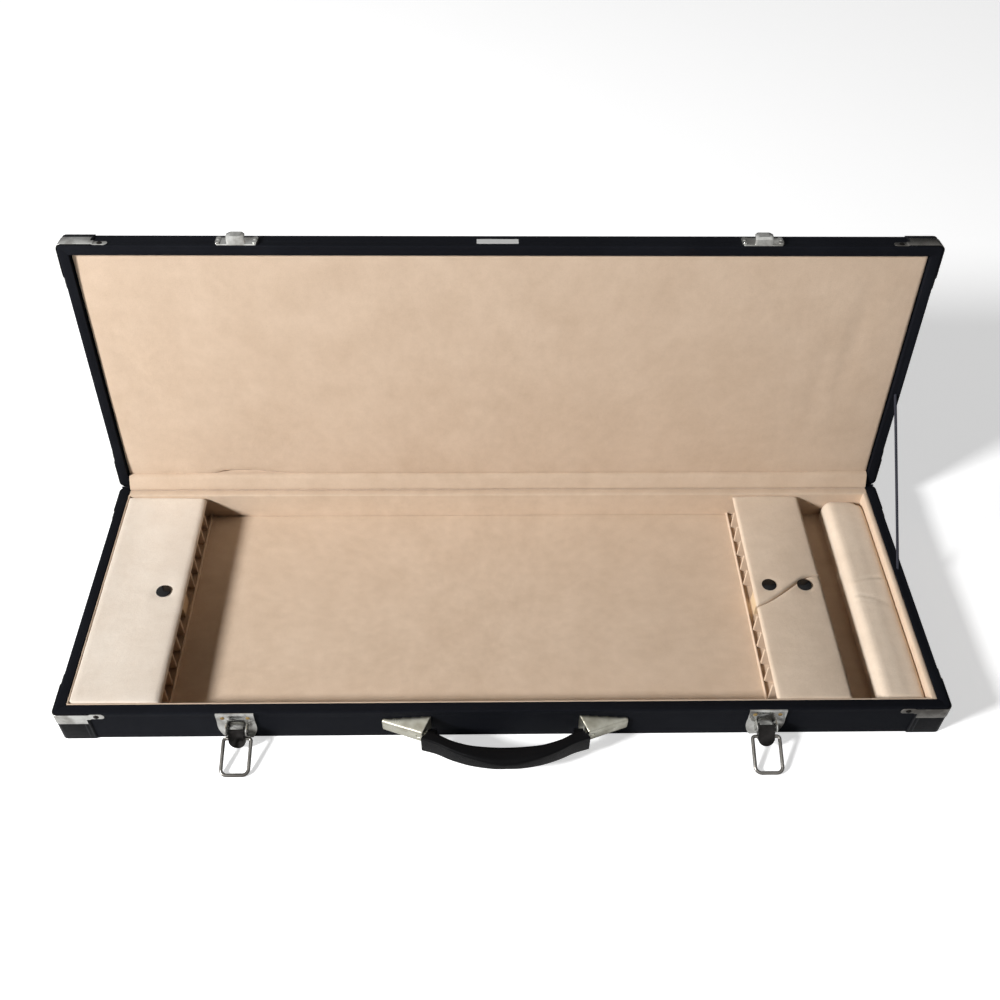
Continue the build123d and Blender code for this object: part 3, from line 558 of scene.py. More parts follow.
def crease(x, y, start, end, width):
    """How deep a point lies in a crease from start to end, from 0 to 1, fading at both ends."""
    along = Vector(end) - Vector(start)
    share = (Vector((x, y)) - Vector(start)).dot(along) / along.length_squared
    if not 0 < share < 1:
        return 0.0
    distance = (Vector((x, y)) - Vector(start) - along * share).length
    return math.exp(-((distance / width) ** 2)) * math.sin(math.pi * share) ** 0.6


def pad(name, across, low_side, high_side, top, seam, under, rolls, material, step=6 * mm, place=None):
    """A stuffed pad: a crowned top that rolls down to a seam all round, and a flat back.

    The rolls are the widths of the rounded edges at the left, the right, the front and the back.
    """
    left, right, front, back = rolls
    under_roll = 1.6 * mm
    outlines = []
    count = round(max(high_side(x) - low_side(x) for x in across) / step)
    for x in across:
        end_rise = rise(x - across[0], left) * rise(across[-1] - x, right)
        low, high = low_side(x), high_side(x)
        level = seam + (under - seam) * rise(min(x - across[0], across[-1] - x), under_roll)
        outline = []
        for y in spread(low, high, step, (front, back), count):
            height = end_rise * rise(y - low, front) * rise(high - y, back)
            outline.append((x, y, seam + (top(x, y) - seam) * height))
        outlines.append(outline + [(x, high - under_roll, level), (x, low + under_roll, level)])
    return skin(name, outlines, material, place=place)


# %% [markdown]
# ## The three flaps
# Each rack is covered by a padded flap with a press stud. The suede is pulled over foam and sewn flat at
# the back, so the top is crowned, the edges roll over and the stud pulls a dimple with short creases.
# The two flaps over the frogs meet in a curved seam.

# %% Flaps
tip_low, tip_high = (Vector(v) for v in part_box("tip_flap"))
frog_low, _ = (Vector(v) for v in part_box("frog_front_flap"))
_, frog_high = (Vector(v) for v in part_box("frog_back_flap"))
snap_places = {}
for flap in ("tip", "frog_back", "frog_front"):
    low, high = (Vector(v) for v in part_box(f"{flap}_snap_cap"))
    snap_places[flap] = (low + high) / 2
flap_under = tip_low.z
flap_seam = flap_under + 2.6 * mm
tip_rolls = (2.0 * mm, 7 * mm, 3 * mm, 3 * mm)
flap_end = tip_high.y


def flap_top(flap, span, seed, creases=()):
    """The crown of a flap with its dimple, pull creases and the slight unevenness of foam."""
    snap = snap_places[flap]
    middle = (span[0] + span[1]) / 2
    half = (span[1] - span[0]) / 2

    def top(x, y):
        side = (x - middle) / half
        crown = tip_high.z - 1.6 * mm * side ** 2 if side > 0 or flap != "tip" else tip_high.z + 0.7 * mm * side ** 2
        reach = math.hypot(x - snap.x, y - snap.y)
        turn = math.atan2(y - snap.y, x - snap.x)
        dimple = 1.3 * mm * math.exp(-((reach / (9.6 * mm)) ** 3))
        pulls = 0.22 * mm * math.cos(5 * turn + seed) * math.exp(-(((reach - 11.5 * mm) / (6 * mm)) ** 2))
        uneven = 0.28 * mm * wander(x, y, 34 * mm, seed) + 0.1 * mm * wander(x, y, 11 * mm, seed + 5)
        folds = sum(depth * crease(x, y, start, end, width) for start, end, width, depth in creases)
        return crown - dimple + pulls + uneven - folds

    return top


def rounded_corner(piece, corner, inward, radius):
    """Bends the square corner of a finished pad into a quarter circle."""
    middle = Vector(corner) + Vector(inward) * radius
    for vertex in piece.data.vertices:
        dx = (vertex.co.x - middle.x) * -inward[0]
        dy = (vertex.co.y - middle.y) * -inward[1]
        if dx > 0 and dy > 0:
            shrink = max(dx, dy) / math.hypot(dx, dy)
            vertex.co.x = middle.x - inward[0] * dx * shrink
            vertex.co.y = middle.y - inward[1] * dy * shrink


tip_snap = snap_places["tip"]
tip_creases = [
    ((tip_snap.x - 34 * mm, tip_snap.y + 7 * mm), (tip_snap.x - 4 * mm, tip_snap.y + 1 * mm), 1.6 * mm, 0.5 * mm),
    ((tip_high.x + 4 * mm, -8 * mm), (tip_high.x - 20 * mm, -3 * mm), 2.0 * mm, 0.9 * mm),
    ((tip_high.x + 4 * mm, -26 * mm), (tip_high.x - 14 * mm, -20 * mm), 2.0 * mm, 0.6 * mm),
]
tip_span = (tip_low.x - 1.7 * mm, tip_high.x)
tip_pad = pad(
    "tip_flap_pad",
    spread(*tip_span, 5 * mm, tip_rolls[:2]),
    lambda x: tip_low.y, lambda x: tip_high.y,
    flap_top("tip", tip_span, 1.0, tip_creases),
    flap_seam, flap_under, tip_rolls, tip_suede_painted_light, 5 * mm,
)
rounded_corner(tip_pad, (tip_high.x, tip_high.y, 0), (-1, -1, 0), 4.5 * mm)

seam_line = (
    (0.0, -21.6), (8.0, -18.2), (17.0, -13.5), (26.0, -7.3), (36.0, 0.0), (46.0, 8.0), (53.0, 13.6), (62.0, 18.0),
    (73.5, 20.4),
)


def seam_y(x):
    """The place along Y of the curved seam between the two frog flaps."""
    place = (x - frog_low.x) / mm
    for (x0, y0), (x1, y1) in zip(seam_line, seam_line[1:]):
        if place <= x1:
            share = max(0.0, (place - x0) / (x1 - x0))
            return (y0 + (y1 - y0) * share) * mm
    return seam_line[-1][1] * mm


frog_span = (frog_low.x, frog_high.x)
frog_rolls = (3.5 * mm, 4.5 * mm, 3 * mm, 3 * mm)
seam_roll = 4.5 * mm
frog_lines = spread(*frog_span, 4 * mm, frog_rolls[:2])
frog_back_pad = pad(
    "frog_back_flap_pad", frog_lines,
    lambda x: seam_y(x) + 0.35 * mm, lambda x: flap_end,
    flap_top("frog_back", frog_span, 2.0), flap_seam, flap_under, (*frog_rolls[:2], seam_roll, 3 * mm), flap_suede_painted_light, 4 * mm,
)
frog_front_pad = pad(
    "frog_front_flap_pad", frog_lines,
    lambda x: -flap_end, lambda x: seam_y(x) - 0.35 * mm,
    flap_top("frog_front", frog_span, 3.0), flap_seam, flap_under, (*frog_rolls[:2], 3 * mm, seam_roll), flap_suede_painted_light, 4 * mm,
)
flap_pads = {"tip": tip_pad, "frog_back": frog_back_pad, "frog_front": frog_front_pad}
for flap, piece in flap_pads.items():
    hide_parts(f"{flap}_flap")
    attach(piece, f"{flap}_flap")
    print(piece.name, len(piece.data.polygons), "faces")


# %% [markdown]
# ## The bolster at the right end
# A soft roll fills the right end of the case. Its left side bulges over the trough, its top is nearly
# level and its far corner is rounded into the corner of the lining. The suede has wrinkled where it was
# bent over the middle, in two shallow arcs.

# %% Bolster
roll_low, roll_high = (Vector(v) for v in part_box("end_cushion"))


def roll_outline(y):
    """The bolster's section at a place along Y."""
    from_end = min(y - roll_low.y, roll_high.y - y)
    end = rise(from_end, 9 * mm)
    low = roll_low.z
    sag = 2.2 * mm * (1 - rise(from_end, 60 * mm))
    high = roll_high.z - sag
    left = roll_low.x + 3.4 * mm
    right = roll_high.x
    ring = []
    points = (
        (0.3, 0.0), (0.0, 0.2), (0.2, 0.45), (0.9, 0.66), (2.3, 0.82), (4.8, 0.93), (8.4, 0.98), (12.5, 1.0),
        (17.0, 1.0), (22.0, 0.998), (27.0, 0.99), (31.5, 0.98), (35.5, 0.965), (39.0, 0.945), (41.6, 0.91),
        (43.4, 0.84), (44.3, 0.72),
    )
    squeeze = 5.0 * mm * (1 - end)
    for inward, share in points:
        x = left + inward * mm + squeeze * (1 if inward < 20 else -0.2)
        z = low + (high - low) * share * (0.72 + 0.28 * end)
        z += share ** 3 * (0.35 * mm * wander(x, y, 30 * mm, 7.0) + 0.12 * mm * wander(x, y, 9 * mm, 8.0))
        z -= share ** 2 * (1.7 * wrinkle(x, y) + stretch_marks(inward))
        ring.append((min(x, right), y, z))
    return ring + [(right - 0.2 * mm, y, low)]


def stretch_marks(inward):
    """Soft lengthwise hollows in the bolster's top, at a distance in millimetres from its left side."""
    hollow = 0.55 * math.exp(-(((inward - 14.5) / 3.5) ** 2)) + 0.4 * math.exp(-(((inward - 30.0) / 4.0) ** 2))
    return hollow * mm


def wrinkle(x, y):
    """Two shallow arcs across the bolster, with the cloth gathered between them."""
    bow = (x - roll_low.x - 22 * mm) / (26 * mm)
    depth = 0.0
    for place, lean, deep in ((18.0, 6.0, 0.75), (-7.0, -9.0, 0.75), (-13.0, -6.0, 0.3)):
        line = (place + lean * bow - 5.0 * bow * bow) * mm
        depth += deep * mm * math.exp(-(((y - line) / (1.5 * mm)) ** 2))
        depth -= 0.5 * deep * mm * math.exp(-(((y - line + 3.2 * mm) / (2.2 * mm)) ** 2))
    return depth * max(0.0, 1 - 0.35 * abs(bow))


roll_places = spread(roll_low.y, roll_high.y, 2.2 * mm, (9 * mm, 9 * mm))
bolster = skin("end_bolster", [roll_outline(y) for y in roll_places], roll_suede_painted_light, crisp=60.0)
rounded_corner(bolster, (roll_high.x, roll_high.y, 0), (-1, -1, 0), 14 * mm)
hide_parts("end_cushion")
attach(bolster, "base")
print("bolster", len(bolster.data.polygons), "faces")

# %% [markdown]
# ## The floor and the pad of the lid
# Both are thin sheets of foam under suede. The floor lies flat with a few faint creases, and the pad of
# the lid is fuller, with soft diagonal creases towards its right end where the cloth has stretched.

# %% Floor pad
floor_low, floor_high = (Vector(v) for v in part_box("floor_pad"))
floor_creases = [
    ((200 * mm, 80 * mm), (264 * mm, 78 * mm), 3.0 * mm, 0.4 * mm),
    ((190 * mm, 17 * mm), (264 * mm, 16 * mm), 3.0 * mm, 0.4 * mm),
    ((-300 * mm, 60 * mm), (-220 * mm, 66 * mm), 4.0 * mm, 0.25 * mm),
]


def floor_top(x, y):
    """The nearly flat top of the floor pad."""
    folds = sum(depth * crease(x, y, start, end, width) for start, end, width, depth in floor_creases)
    return floor_high.z - 0.25 * mm + 0.22 * mm * wander(x, y, 60 * mm, 11.0) - folds


floor_cover = pad(
    "floor_cover",
    spread(floor_low.x, floor_high.x, 7 * mm, (3 * mm, 3 * mm)),
    lambda x: floor_low.y, lambda x: floor_high.y,
    floor_top, floor_high.z - 2.0 * mm, floor_low.z, (3 * mm,) * 4, lining_suede, 7 * mm,
)
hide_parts("floor_pad")
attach(floor_cover, "base")

# %% Pad of the lid
lid_pad_x = 413.6 * mm
lid_pad_rear = 136.0 * mm
lid_pad_front = -137.4 * mm
lid_back = lid_rim + 18.0 * mm
lid_pad_full = 17.2 * mm
lid_pad_seam = 13.0 * mm
lid_rolls = (4 * mm, 4 * mm, 4 * mm, 8 * mm)
lid_creases = [
    ((366 * mm, -118 * mm), (357 * mm, 46 * mm), 9.0 * mm, 0.8 * mm),
    ((338 * mm, -60 * mm), (330 * mm, 88 * mm), 9.0 * mm, 0.5 * mm),
    ((-402 * mm, -60 * mm), (-350 * mm, 60 * mm), 9.0 * mm, 0.4 * mm),
]


def lid_pad_top(x, y):
    """The fullness of the lid's pad above its board, on the closed lid turned over."""
    middle = (lid_pad_rear + lid_pad_front) / 2
    flat = 1 - 0.09 * (x / lid_pad_x) ** 4 - 0.09 * ((y - middle) / (lid_pad_rear - middle)) ** 4
    folds = sum(depth * crease(x, y, start, end, width) for start, end, width, depth in lid_creases)
    uneven = 0.35 * mm * wander(x, y, 70 * mm, 21.0) + 0.12 * mm * wander(x, y, 22 * mm, 22.0)
    return lid_pad_full * flat - 0.4 * mm - folds + uneven


def lid_pad_edge(x):
    """The rear edge of the pad, which has pulled up in one place and leaves a dark fold there."""
    rising = min(1.0, max(0.0, (x + 0.322) / (22 * mm)))
    falling = min(1.0, max(0.0, (-0.205 - x) / (70 * mm)))
    pulled = 6.0 * mm * math.sin(math.pi / 2 * rising) * falling ** 1.5
    return lid_pad_rear - pulled - 0.8 * mm * (1 + wander(x, 0.0, 120 * mm, 23.0))


turned_over = lid_turn @ Matrix.Translation((0, 0, lid_back)) @ Matrix.Diagonal((1, 1, -1, 1))
lid_cover = pad(
    "lid_cover",
    spread(-lid_pad_x, lid_pad_x, 7 * mm, lid_rolls[:2]),
    lambda x: lid_pad_front, lid_pad_edge,
    lid_pad_top, lid_pad_seam, 0.0, lid_rolls, lid_suede_painted_shade, 6 * mm, place=turned_over,
)
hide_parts("lid_pad")
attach(lid_cover, "lid")
print("floor and lid", len(floor_cover.data.polygons), len(lid_cover.data.polygons), "faces")

# %% [markdown]
# ## The lining of the walls
# Thin strips of padded suede stand on the four walls, with rounded tops just under the rim. They are one
# outline carried round the four corners. The strip on the right is thicker.

# %% Lining of the walls
strip_low, strip_high = (Vector(v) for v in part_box("wall_linings"))
strip_side = 2.5 * mm
strip_right = 5.8 * mm
strip_profile = [(0.0, 0.0), (0.0, 1.0)]
strip_profile += [(0.5 - 0.5 * math.cos(math.radians(a)), 1.0 + math.sin(math.radians(a))) for a in range(15, 180, 15)]
strip_profile += [(1.0, 1.0), (1.0, 0.0)]


def strip_outline(x_side, y_side, x, y):
    """The outline of the lining at one place round the walls; sides give the thickness inwards."""
    ring = []
    crown = 1.3 * mm
    for share, height in strip_profile:
        foot = floor_high.z - 1 * mm if x_side > strip_side and share > 0.4 else strip_low.z
        level = foot if height == 0 else strip_high.z - crown + (height - 1.0) * crown
        loose = 0.0 if height == 0 else 0.15 * mm * wander(x, y, 25 * mm, 31.0)
        ring.append((x - x_side * share, y - y_side * share, level + loose))
    return ring


strip_stations = []
for corner, following in (((1, -1), (1, 1)), ((1, 1), (-1, 1)), ((-1, 1), (-1, -1)), ((-1, -1), (1, -1))):
    length = 2 * inner_y if corner[0] == following[0] else 2 * inner_x
    count = round(length / (12 * mm))
    for k in range(count):
        share = k / count
        sx = corner[0] + (following[0] - corner[0]) * share
        sy = corner[1] + (following[1] - corner[1]) * share
        on_end = corner[0] == following[0]
        thick = strip_right if sx > 0.999 else strip_side
        x_side = (thick if sx > 0 else -strip_side) if on_end or k == 0 else 0.0
        y_side = (strip_side if sy > 0 else -strip_side) if not on_end or k == 0 else 0.0
        strip_stations.append(strip_outline(x_side, y_side, sx * inner_x, sy * inner_y))
wall_strips = skin("wall_strips", strip_stations, lining_suede, round_trip=True)
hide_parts("wall_linings")
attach(wall_strips, "base")
print("wall strips", len(wall_strips.data.polygons), "faces")

# %% [markdown]
# ## The racks
# A rack is a row of thin boards covered in suede, all alike and evenly spaced. One board is modelled and a
# small node tree repeats it along a line, so the pitch is a number and not ten copies by hand.

# %% A node tree that repeats one piece along a line
def input_id(tree, name):
    """The identifier of a tree's input, which is how a modifier's value is set."""
    return next(item.identifier for item in tree.interface.items_tree if item.name == name)


def row_tree():
    """Repeats the mesh that it is put on along a line, with a count and a step."""
    tree = bpy.data.node_groups.new("row of pieces", "GeometryNodeTree")
    tree.interface.new_socket("Geometry", in_out="INPUT", socket_type="NodeSocketGeometry")
    tree.interface.new_socket("Count", in_out="INPUT", socket_type="NodeSocketInt")
    tree.interface.new_socket("Step", in_out="INPUT", socket_type="NodeSocketVector")
    tree.interface.new_socket("Finish", in_out="INPUT", socket_type="NodeSocketMaterial")
    tree.interface.new_socket("Geometry", in_out="OUTPUT", socket_type="NodeSocketGeometry")
    enter = tree.nodes.new("NodeGroupInput")
    leave = tree.nodes.new("NodeGroupOutput")
    line = tree.nodes.new("GeometryNodeMeshLine")
    line.mode = "OFFSET"
    copies = tree.nodes.new("GeometryNodeInstanceOnPoints")
    real = tree.nodes.new("GeometryNodeRealizeInstances")
    paint = tree.nodes.new("GeometryNodeSetMaterial")
    join = tree.links.new
    join(enter.outputs["Count"], line.inputs["Count"])
    join(enter.outputs["Step"], line.inputs["Offset"])
    join(line.outputs["Mesh"], copies.inputs["Points"])
    join(enter.outputs["Geometry"], copies.inputs["Instance"])
    join(copies.outputs["Instances"], real.inputs["Geometry"])
    join(real.outputs["Geometry"], paint.inputs["Geometry"])
    join(enter.outputs["Finish"], paint.inputs["Material"])
    join(paint.outputs["Geometry"], leave.inputs["Geometry"])
    return tree


def applied(piece):
    """The piece with its modifiers made into plain mesh."""
    bpy.context.view_layer.update()
    shown = piece.evaluated_get(bpy.context.evaluated_depsgraph_get())
    plain = bpy.data.meshes.new_from_object(shown)
    piece.modifiers.clear()
    piece.data = plain
    return piece


def in_a_row(piece, count, step, material):
    """Repeats a finished piece along a line."""
    tree = bpy.data.node_groups.get("row of pieces") or row_tree()
    modifier = piece.modifiers.new("row", "NODES")
    modifier.node_group = tree
    modifier[input_id(tree, "Count")] = count
    modifier[input_id(tree, "Step")] = step
    modifier[input_id(tree, "Finish")] = material
    return applied(piece)


def joined(name, parts):
    """Several finished pieces as one."""
    made = bmesh.new()
    for part in parts:
        made.from_mesh(part.data)
    materials = list(parts[0].data.materials)
    result = finished(name, made, materials[0])
    for part in parts:
        bpy.data.objects.remove(part)
    return result


# %% Boards of the racks
board_thick = 2.4 * mm
slots_each_side = 6
block_half = 9.6 * mm
board_pitch = (floor_high.y - block_half) / slots_each_side


def board_outline(x, low, high, y):
    """Rounded outline of one board across its thickness."""
    half = board_thick / 2
    ring = [(x, y - half, low), (x, y - half, high - half)]
    for a in range(150, 0, -30):
        ring.append((x, y + half * math.cos(math.radians(a)), high - half + half * math.sin(math.radians(a))))
    return ring + [(x, y + half, high - half), (x, y + half, low)]


def rack(name, node, closed_end, open_end):
    """Boards on both sides of the wooden block, and the low rail at their open ends."""
    low, high = (Vector(v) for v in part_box(node))
    outwards = math.copysign(1, open_end - closed_end)
    bevel = 0.4 * mm
    rows = []
    for side in (-1, 1):
        start = side * (block_half + board_pitch)
        outlines = []
        for x, inset in (
            (closed_end, bevel), (closed_end + outwards * bevel, 0.0), (open_end - outwards * bevel, 0.0),
            (open_end, bevel),
        ):
            share = 1 - 2 * inset / board_thick
            outlines.append([
                (x, start + (y - start) * share, z - (inset if z > low.z else 0.0))
                for _, y, z in board_outline(x, low.z, high.z, start)
            ])
        board = skin(f"{name}_{side}", outlines, lining_suede)
        rows.append(in_a_row(board, slots_each_side - 1, (0.0, side * board_pitch, 0.0), lining_suede))
    rail = 2.4 * mm
    rail_top = low.z + 2.6 * mm
    rail_middle = open_end + outwards * rail / 2
    ends = []
    for y in spread(low.y, high.y, 20 * mm, (1 * mm, 1 * mm)):
        ring = [(rail_middle - rail / 2, y, low.z)]
        for a in range(180, -1, -30):
            turn = math.radians(a)
            ring.append((rail_middle + rail / 2 * math.cos(turn), y, rail_top - rail / 2 * (1 - math.sin(turn))))
        ends.append(ring + [(rail_middle + rail / 2, y, low.z)])
    rows.append(skin(f"{name}_rail", ends, lining_suede))
    piece = joined(name, rows)
    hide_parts(node)
    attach(piece, "base")
    print(name, len(piece.data.polygons), "faces")
    return piece


rack("tip_boards", "tip_rack", -inner_x + strip_side, -328.4 * mm)
rack("frog_boards", "frog_rack", 334.5 * mm, 261.0 * mm)

# %% [markdown]
# ## The cloth over the hinge
# One strip of suede is glued over the back rim, across the hinge and on to the lid, so that the hinge
# can't be seen from inside. It ends in a folded edge on the pad of the lid. It is one bent sheet with a
# little thickness.

# %% Hinge cloth
cloth_thick = 0.9 * mm
cloth_half_length = inner_x - 1.5 * mm


def lid_place(along, proud):
    """A point on the open lid: along the lid from the hinge, and how far it stands in front of the rim."""
    spot = lid_turn @ Vector((0, hinge.y - along, lid_rim - proud))
    return spot.y, spot.z


def hinge_outline(x):
    """The bent strip at one place along the case, as a thin closed outline."""
    puff = 1 + 0.12 * wander(x, 0.0, 90 * mm, 41.0)
    hem = 16.0 * mm + 1.0 * mm * wander(x, 0.0, 110 * mm, 42.0) + 0.5 * mm * wander(x, 0.0, 28 * mm, 43.0)
    face = [
        (inner_y - 2.4 * mm, rim - 1.6 * mm), (inner_y - 1.6 * mm, rim - 0.5 * mm), (inner_y + 0.5 * mm, rim),
        (inner_y + 3.5 * mm, rim + 0.15 * mm), (inner_y + 4.9 * mm, rim + 0.05 * mm), (inner_y + 5.9 * mm, rim - 0.5 * mm),
        (inner_y + 6.3 * mm, rim - 1.2 * mm),
    ]
    over_lid = (
        (-1.1, 3.9), (-0.7, 4.8), (0.3, 5.4), (1.7, 5.3), (3.5, 4.7), (5.6, 4.0), (8.0, 3.1), (10.2, 2.2), (12.0, 1.5), (13.4, 0.7), (14.5, -0.3),
        (15.2, -1.3), (15.7, -2.4), (16.0, -3.6), (16.4, -6.4), (17.6, -7.6), (24.0, -7.8),
    )
    for along, proud in over_lid:
        face.append(lid_place(along * hem / 16.0 if along < 16.5 else along * mm, proud * mm * (puff if proud > 0 else 1.0)))
    back = []
    for k, point in enumerate(face):
        before = Vector(face[max(k - 1, 0)])
        after = Vector(face[min(k + 1, len(face) - 1)])
        along = (after - before).normalized()
        back.append((point[0] + along.y * cloth_thick, point[1] - along.x * cloth_thick))
    return [(x, *point) for point in face] + [(x, *point) for point in reversed(back)]


cloth_outlines = [hinge_outline(x) for x in spread(-cloth_half_length, cloth_half_length, 9 * mm, (4 * mm, 4 * mm))]
hinge_cloth = skin("hinge_cloth", cloth_outlines, lid_suede_painted_shade, crisp=60.0)
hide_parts("base_hinge_lining", "lid_hinge_lining")
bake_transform(hinge_cloth)

# %% [markdown]
# ## The cord that stops the lid
# A dark braided cord runs straight from the right end wall of the base to the end wall of the lid. It is a
# tube drawn along its middle line.

# %% Stay cord
stay_low, stay_high = (Vector(v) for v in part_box("stay_cord"))
cord_radius = 1.5 * mm
cord_in_wall = 5 * mm
cord_from_front = 26 * mm
cord_foot = Vector(((stay_low.x + stay_high.x) / 2, cord_from_front, rim))
cord_head = lid_turn @ Vector((cord_foot.x, cord_from_front, lid_rim))
cord_way = (cord_head - cord_foot).normalized()
cord_start = cord_foot - cord_way * cord_in_wall
cord_length = (cord_head - cord_foot).length + 2 * cord_in_wall

line = bpy.data.curves.new("stay_cord_line", "CURVE")
line.dimensions = "3D"
spline = line.splines.new("NURBS")
spline.points.add(8)
for k, point in enumerate(spline.points):
    point.co = (*(cord_start + cord_way * cord_length * k / 8), 1.0)
spline.order_u = 3
spline.use_endpoint_u = True
line_object = bpy.data.objects.new("stay_cord_line", line)
bpy.context.scene.collection.objects.link(line_object)
bpy.context.view_layer.update()
line_mesh = bpy.data.meshes.new_from_object(line_object.evaluated_get(bpy.context.evaluated_depsgraph_get()))
bpy.data.objects.remove(line_object)

cord_side = cord_way.cross(Vector((1, 0, 0))).normalized()
cord_rings = []
cord_stations = 220
for k in range(cord_stations + 1):
    place = cord_start + cord_way * cord_length * k / cord_stations
    ring = []
    for side in range(18):
        turn = math.radians(20 * side)
        strand = 1 + 0.05 * math.cos(6 * turn + 1.5 * k) * math.cos(6 * turn - 1.5 * k)
        reach = cord_radius * 0.98 * strand
        ring.append(place + Vector((1, 0, 0)) * reach * math.cos(turn) + cord_side * reach * math.sin(turn))
    cord_rings.append(ring)
stay = skin("stay_cord_braid", cord_rings, cord_braid, crisp=60.0)
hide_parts("stay_cord")
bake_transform(stay)
print("cord", round(cord_length / mm, 1), "mm")

# %% [markdown]
# ## Pieces of metal and the covered boards
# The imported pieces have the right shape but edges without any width. Here each gets a copy whose edges are
# broken by a few tenths of a millimetre, so that they catch the light as pressed and plated metal does.
# The covered boards get softer edges, where the cloth turns over the wood.

# %% Broken edges
def body_of(node):
    """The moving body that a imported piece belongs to."""
    if node.startswith("lid_") or node.endswith("lid_catch") or node in ("catch_rivets", "hinge_lid_leaves"):
        return "lid"
    for side in ("left", "right"):
        for part in ("lever", "bail"):
            if node == f"{side}_latch_{part}":
                return f"{side}_{part}"
    if node.endswith("_snap_cap"):
        return node.replace("_snap_cap", "_flap")
    return "handle" if node == "handle_grip" else "base"


def copied(node, material, crisp):
    """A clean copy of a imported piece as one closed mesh."""
    source = NODES[node]
    made = bmesh.new()
    made.from_mesh(source.data)
    bmesh.ops.transform(made, matrix=source.matrix_world, verts=made.verts)
    bmesh.ops.remove_doubles(made, verts=made.verts, dist=0.002 * mm)
    bmesh.ops.dissolve_limit(made, angle_limit=math.radians(0.5), verts=made.verts, edges=made.edges)
    return finished(f"{node}_dressed", made, material, crisp)


def refined(node, width, material, segments=2, crisp=30.0):
    """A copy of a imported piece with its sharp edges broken."""
    piece = copied(node, material, crisp)
    if width:
        edge = piece.modifiers.new("broken edge", "BEVEL")
        edge.width = width
        edge.segments = segments
        edge.limit_method = "ANGLE"
        edge.angle_limit = math.radians(crisp)
        applied(piece)
        piece.data.polygons.foreach_set("use_smooth", [True] * len(piece.data.polygons))
        piece.data.set_sharp_from_angle(angle=math.radians(crisp + 8))
    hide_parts(node)
    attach(piece, body_of(node))
    return piece


for node in ("base_front_wall", "base_back_wall", "base_end_walls", "base_panel"):
    refined(node, 0.6 * mm, base_cloth, 3)
for node in ("lid_front_wall", "lid_back_wall", "lid_end_walls", "lid_panel"):
    refined(node, 0.6 * mm, lid_cloth, 3)
def hook_outlines(box):
    """The stamped hook of a catch on the closed lid: a shelf with a lip that narrows towards its top."""
    middle = (box[0][0] + box[1][0]) / 2 / mm
    front, floor = -half_depth / mm, lid_rim / mm + 0.9
    outlines = []
    for x, inset, top in (
        (-8.7, 0.5, 6.6), (-8.2, 0.0, 7.4), (-5.8, 0.0, 10.4), (-4.8, 0.0, 10.8), (4.8, 0.0, 10.8), (5.8, 0.0, 10.4),
        (8.2, 0.0, 7.4), (8.7, 0.5, 6.6),
    ):
        outlines.append([
            ((middle + x) * mm, (front - out) * mm, (floor + z) * mm)
            for out, z in (
                (1.1, inset), (6.6 - inset, inset), (8.5 - inset, 2.0), (9.2 - inset, top - 0.6), (8.9, top), (7.9 + inset, top),
                (7.0 + inset, 3.0), (5.9, 1.9 - inset), (1.1, 1.9 - inset),
            )
        ])
    return outlines


refined("base_corner_patches", 0.3 * mm, patch_leather)
refined("lid_corner_patches", 0.3 * mm, lid_patch_leather)
for node in [n for n in NODES if "_band_" in n]:
    # Painted shade: the right-hand bands take the darker nickel, though they are the same plate as the others.
    refined(node, 0.22 * mm, darker_nickel if node.endswith("right") else nickel)
for side in ("left", "right"):
    refined(f"{side}_latch_plate", 0.3 * mm, nickel)
    refined(f"{side}_latch_lever", 0.3 * mm, smoky_nickel)
    plate = copied(f"{side}_lid_catch", nickel, 30.0)
    hook = skin(f"{side}_hook", hook_outlines(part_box(f"{side}_lid_catch")), darker_nickel, place=lid_turn, crisp=25.0)
    catch = joined(f"{side}_catch_dressed", [plate, hook])
    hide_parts(f"{side}_lid_catch")
    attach(catch, "lid")
    bail = refined(f"{side}_latch_bail", 0.0, darker_nickel)
    for vertex in bail.data.vertices:
        vertex.co += Vector(vertex.normal) * 0.35 * mm
    cap = copied(f"{side}_handle_cap", satin_nickel, 60.0)
    even = cap.modifiers.new("even skin", "REMESH")
    even.mode = "VOXEL"
    even.voxel_size = 0.8 * mm
    soft = cap.modifiers.new("pressed edges", "SMOOTH")
    soft.factor = 0.5
    soft.iterations = 6
    applied(cap)
    cap.data.materials.clear()
    cap.data.materials.append(satin_nickel)
    cap.data.polygons.foreach_set("use_smooth", [True] * len(cap.data.polygons))
    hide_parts(f"{side}_handle_cap")
    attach(cap, "base")
refined("catch_rivets", 0.0, nickel)
refined("latch_rivets", 0.0, brass)

# %% [markdown]
# ## Press studs
# The caps are turned: a rolled rim and a low dome, in glossy black enamel.

# %% Caps of the press studs
cap_profile = ((7.1, 0.0), (7.5, 0.25), (7.6, 0.6), (7.4, 0.95), (6.9, 1.1), (6.3, 1.15), (4.6, 1.6), (2.4, 1.9), (0.05, 2.0))
for flap, snap in snap_places.items():
    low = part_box(f"{flap}_snap_cap")[0][2]
    rings = [
        [
            (snap.x + r * mm * math.cos(math.radians(a)), snap.y + r * mm * math.sin(math.radians(a)), low + z * mm)
            for a in range(0, 360, 8)
        ]
        for r, z in cap_profile
    ]
    cap = skin(f"{flap}_stud", rings, black_enamel)
    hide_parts(f"{flap}_snap_cap")
    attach(cap, f"{flap}_flap")

# %% [markdown]
# ## The grip
# The grip is leatherette sewn round a stiff padded core, flat with crisp edges at both ends and rounder in
# the middle. It is drawn as a row of rounded sections, and its ends lean to follow the mouths of the caps.
# Where an end would touch a cap as the grip swings up or down, it is trimmed back.

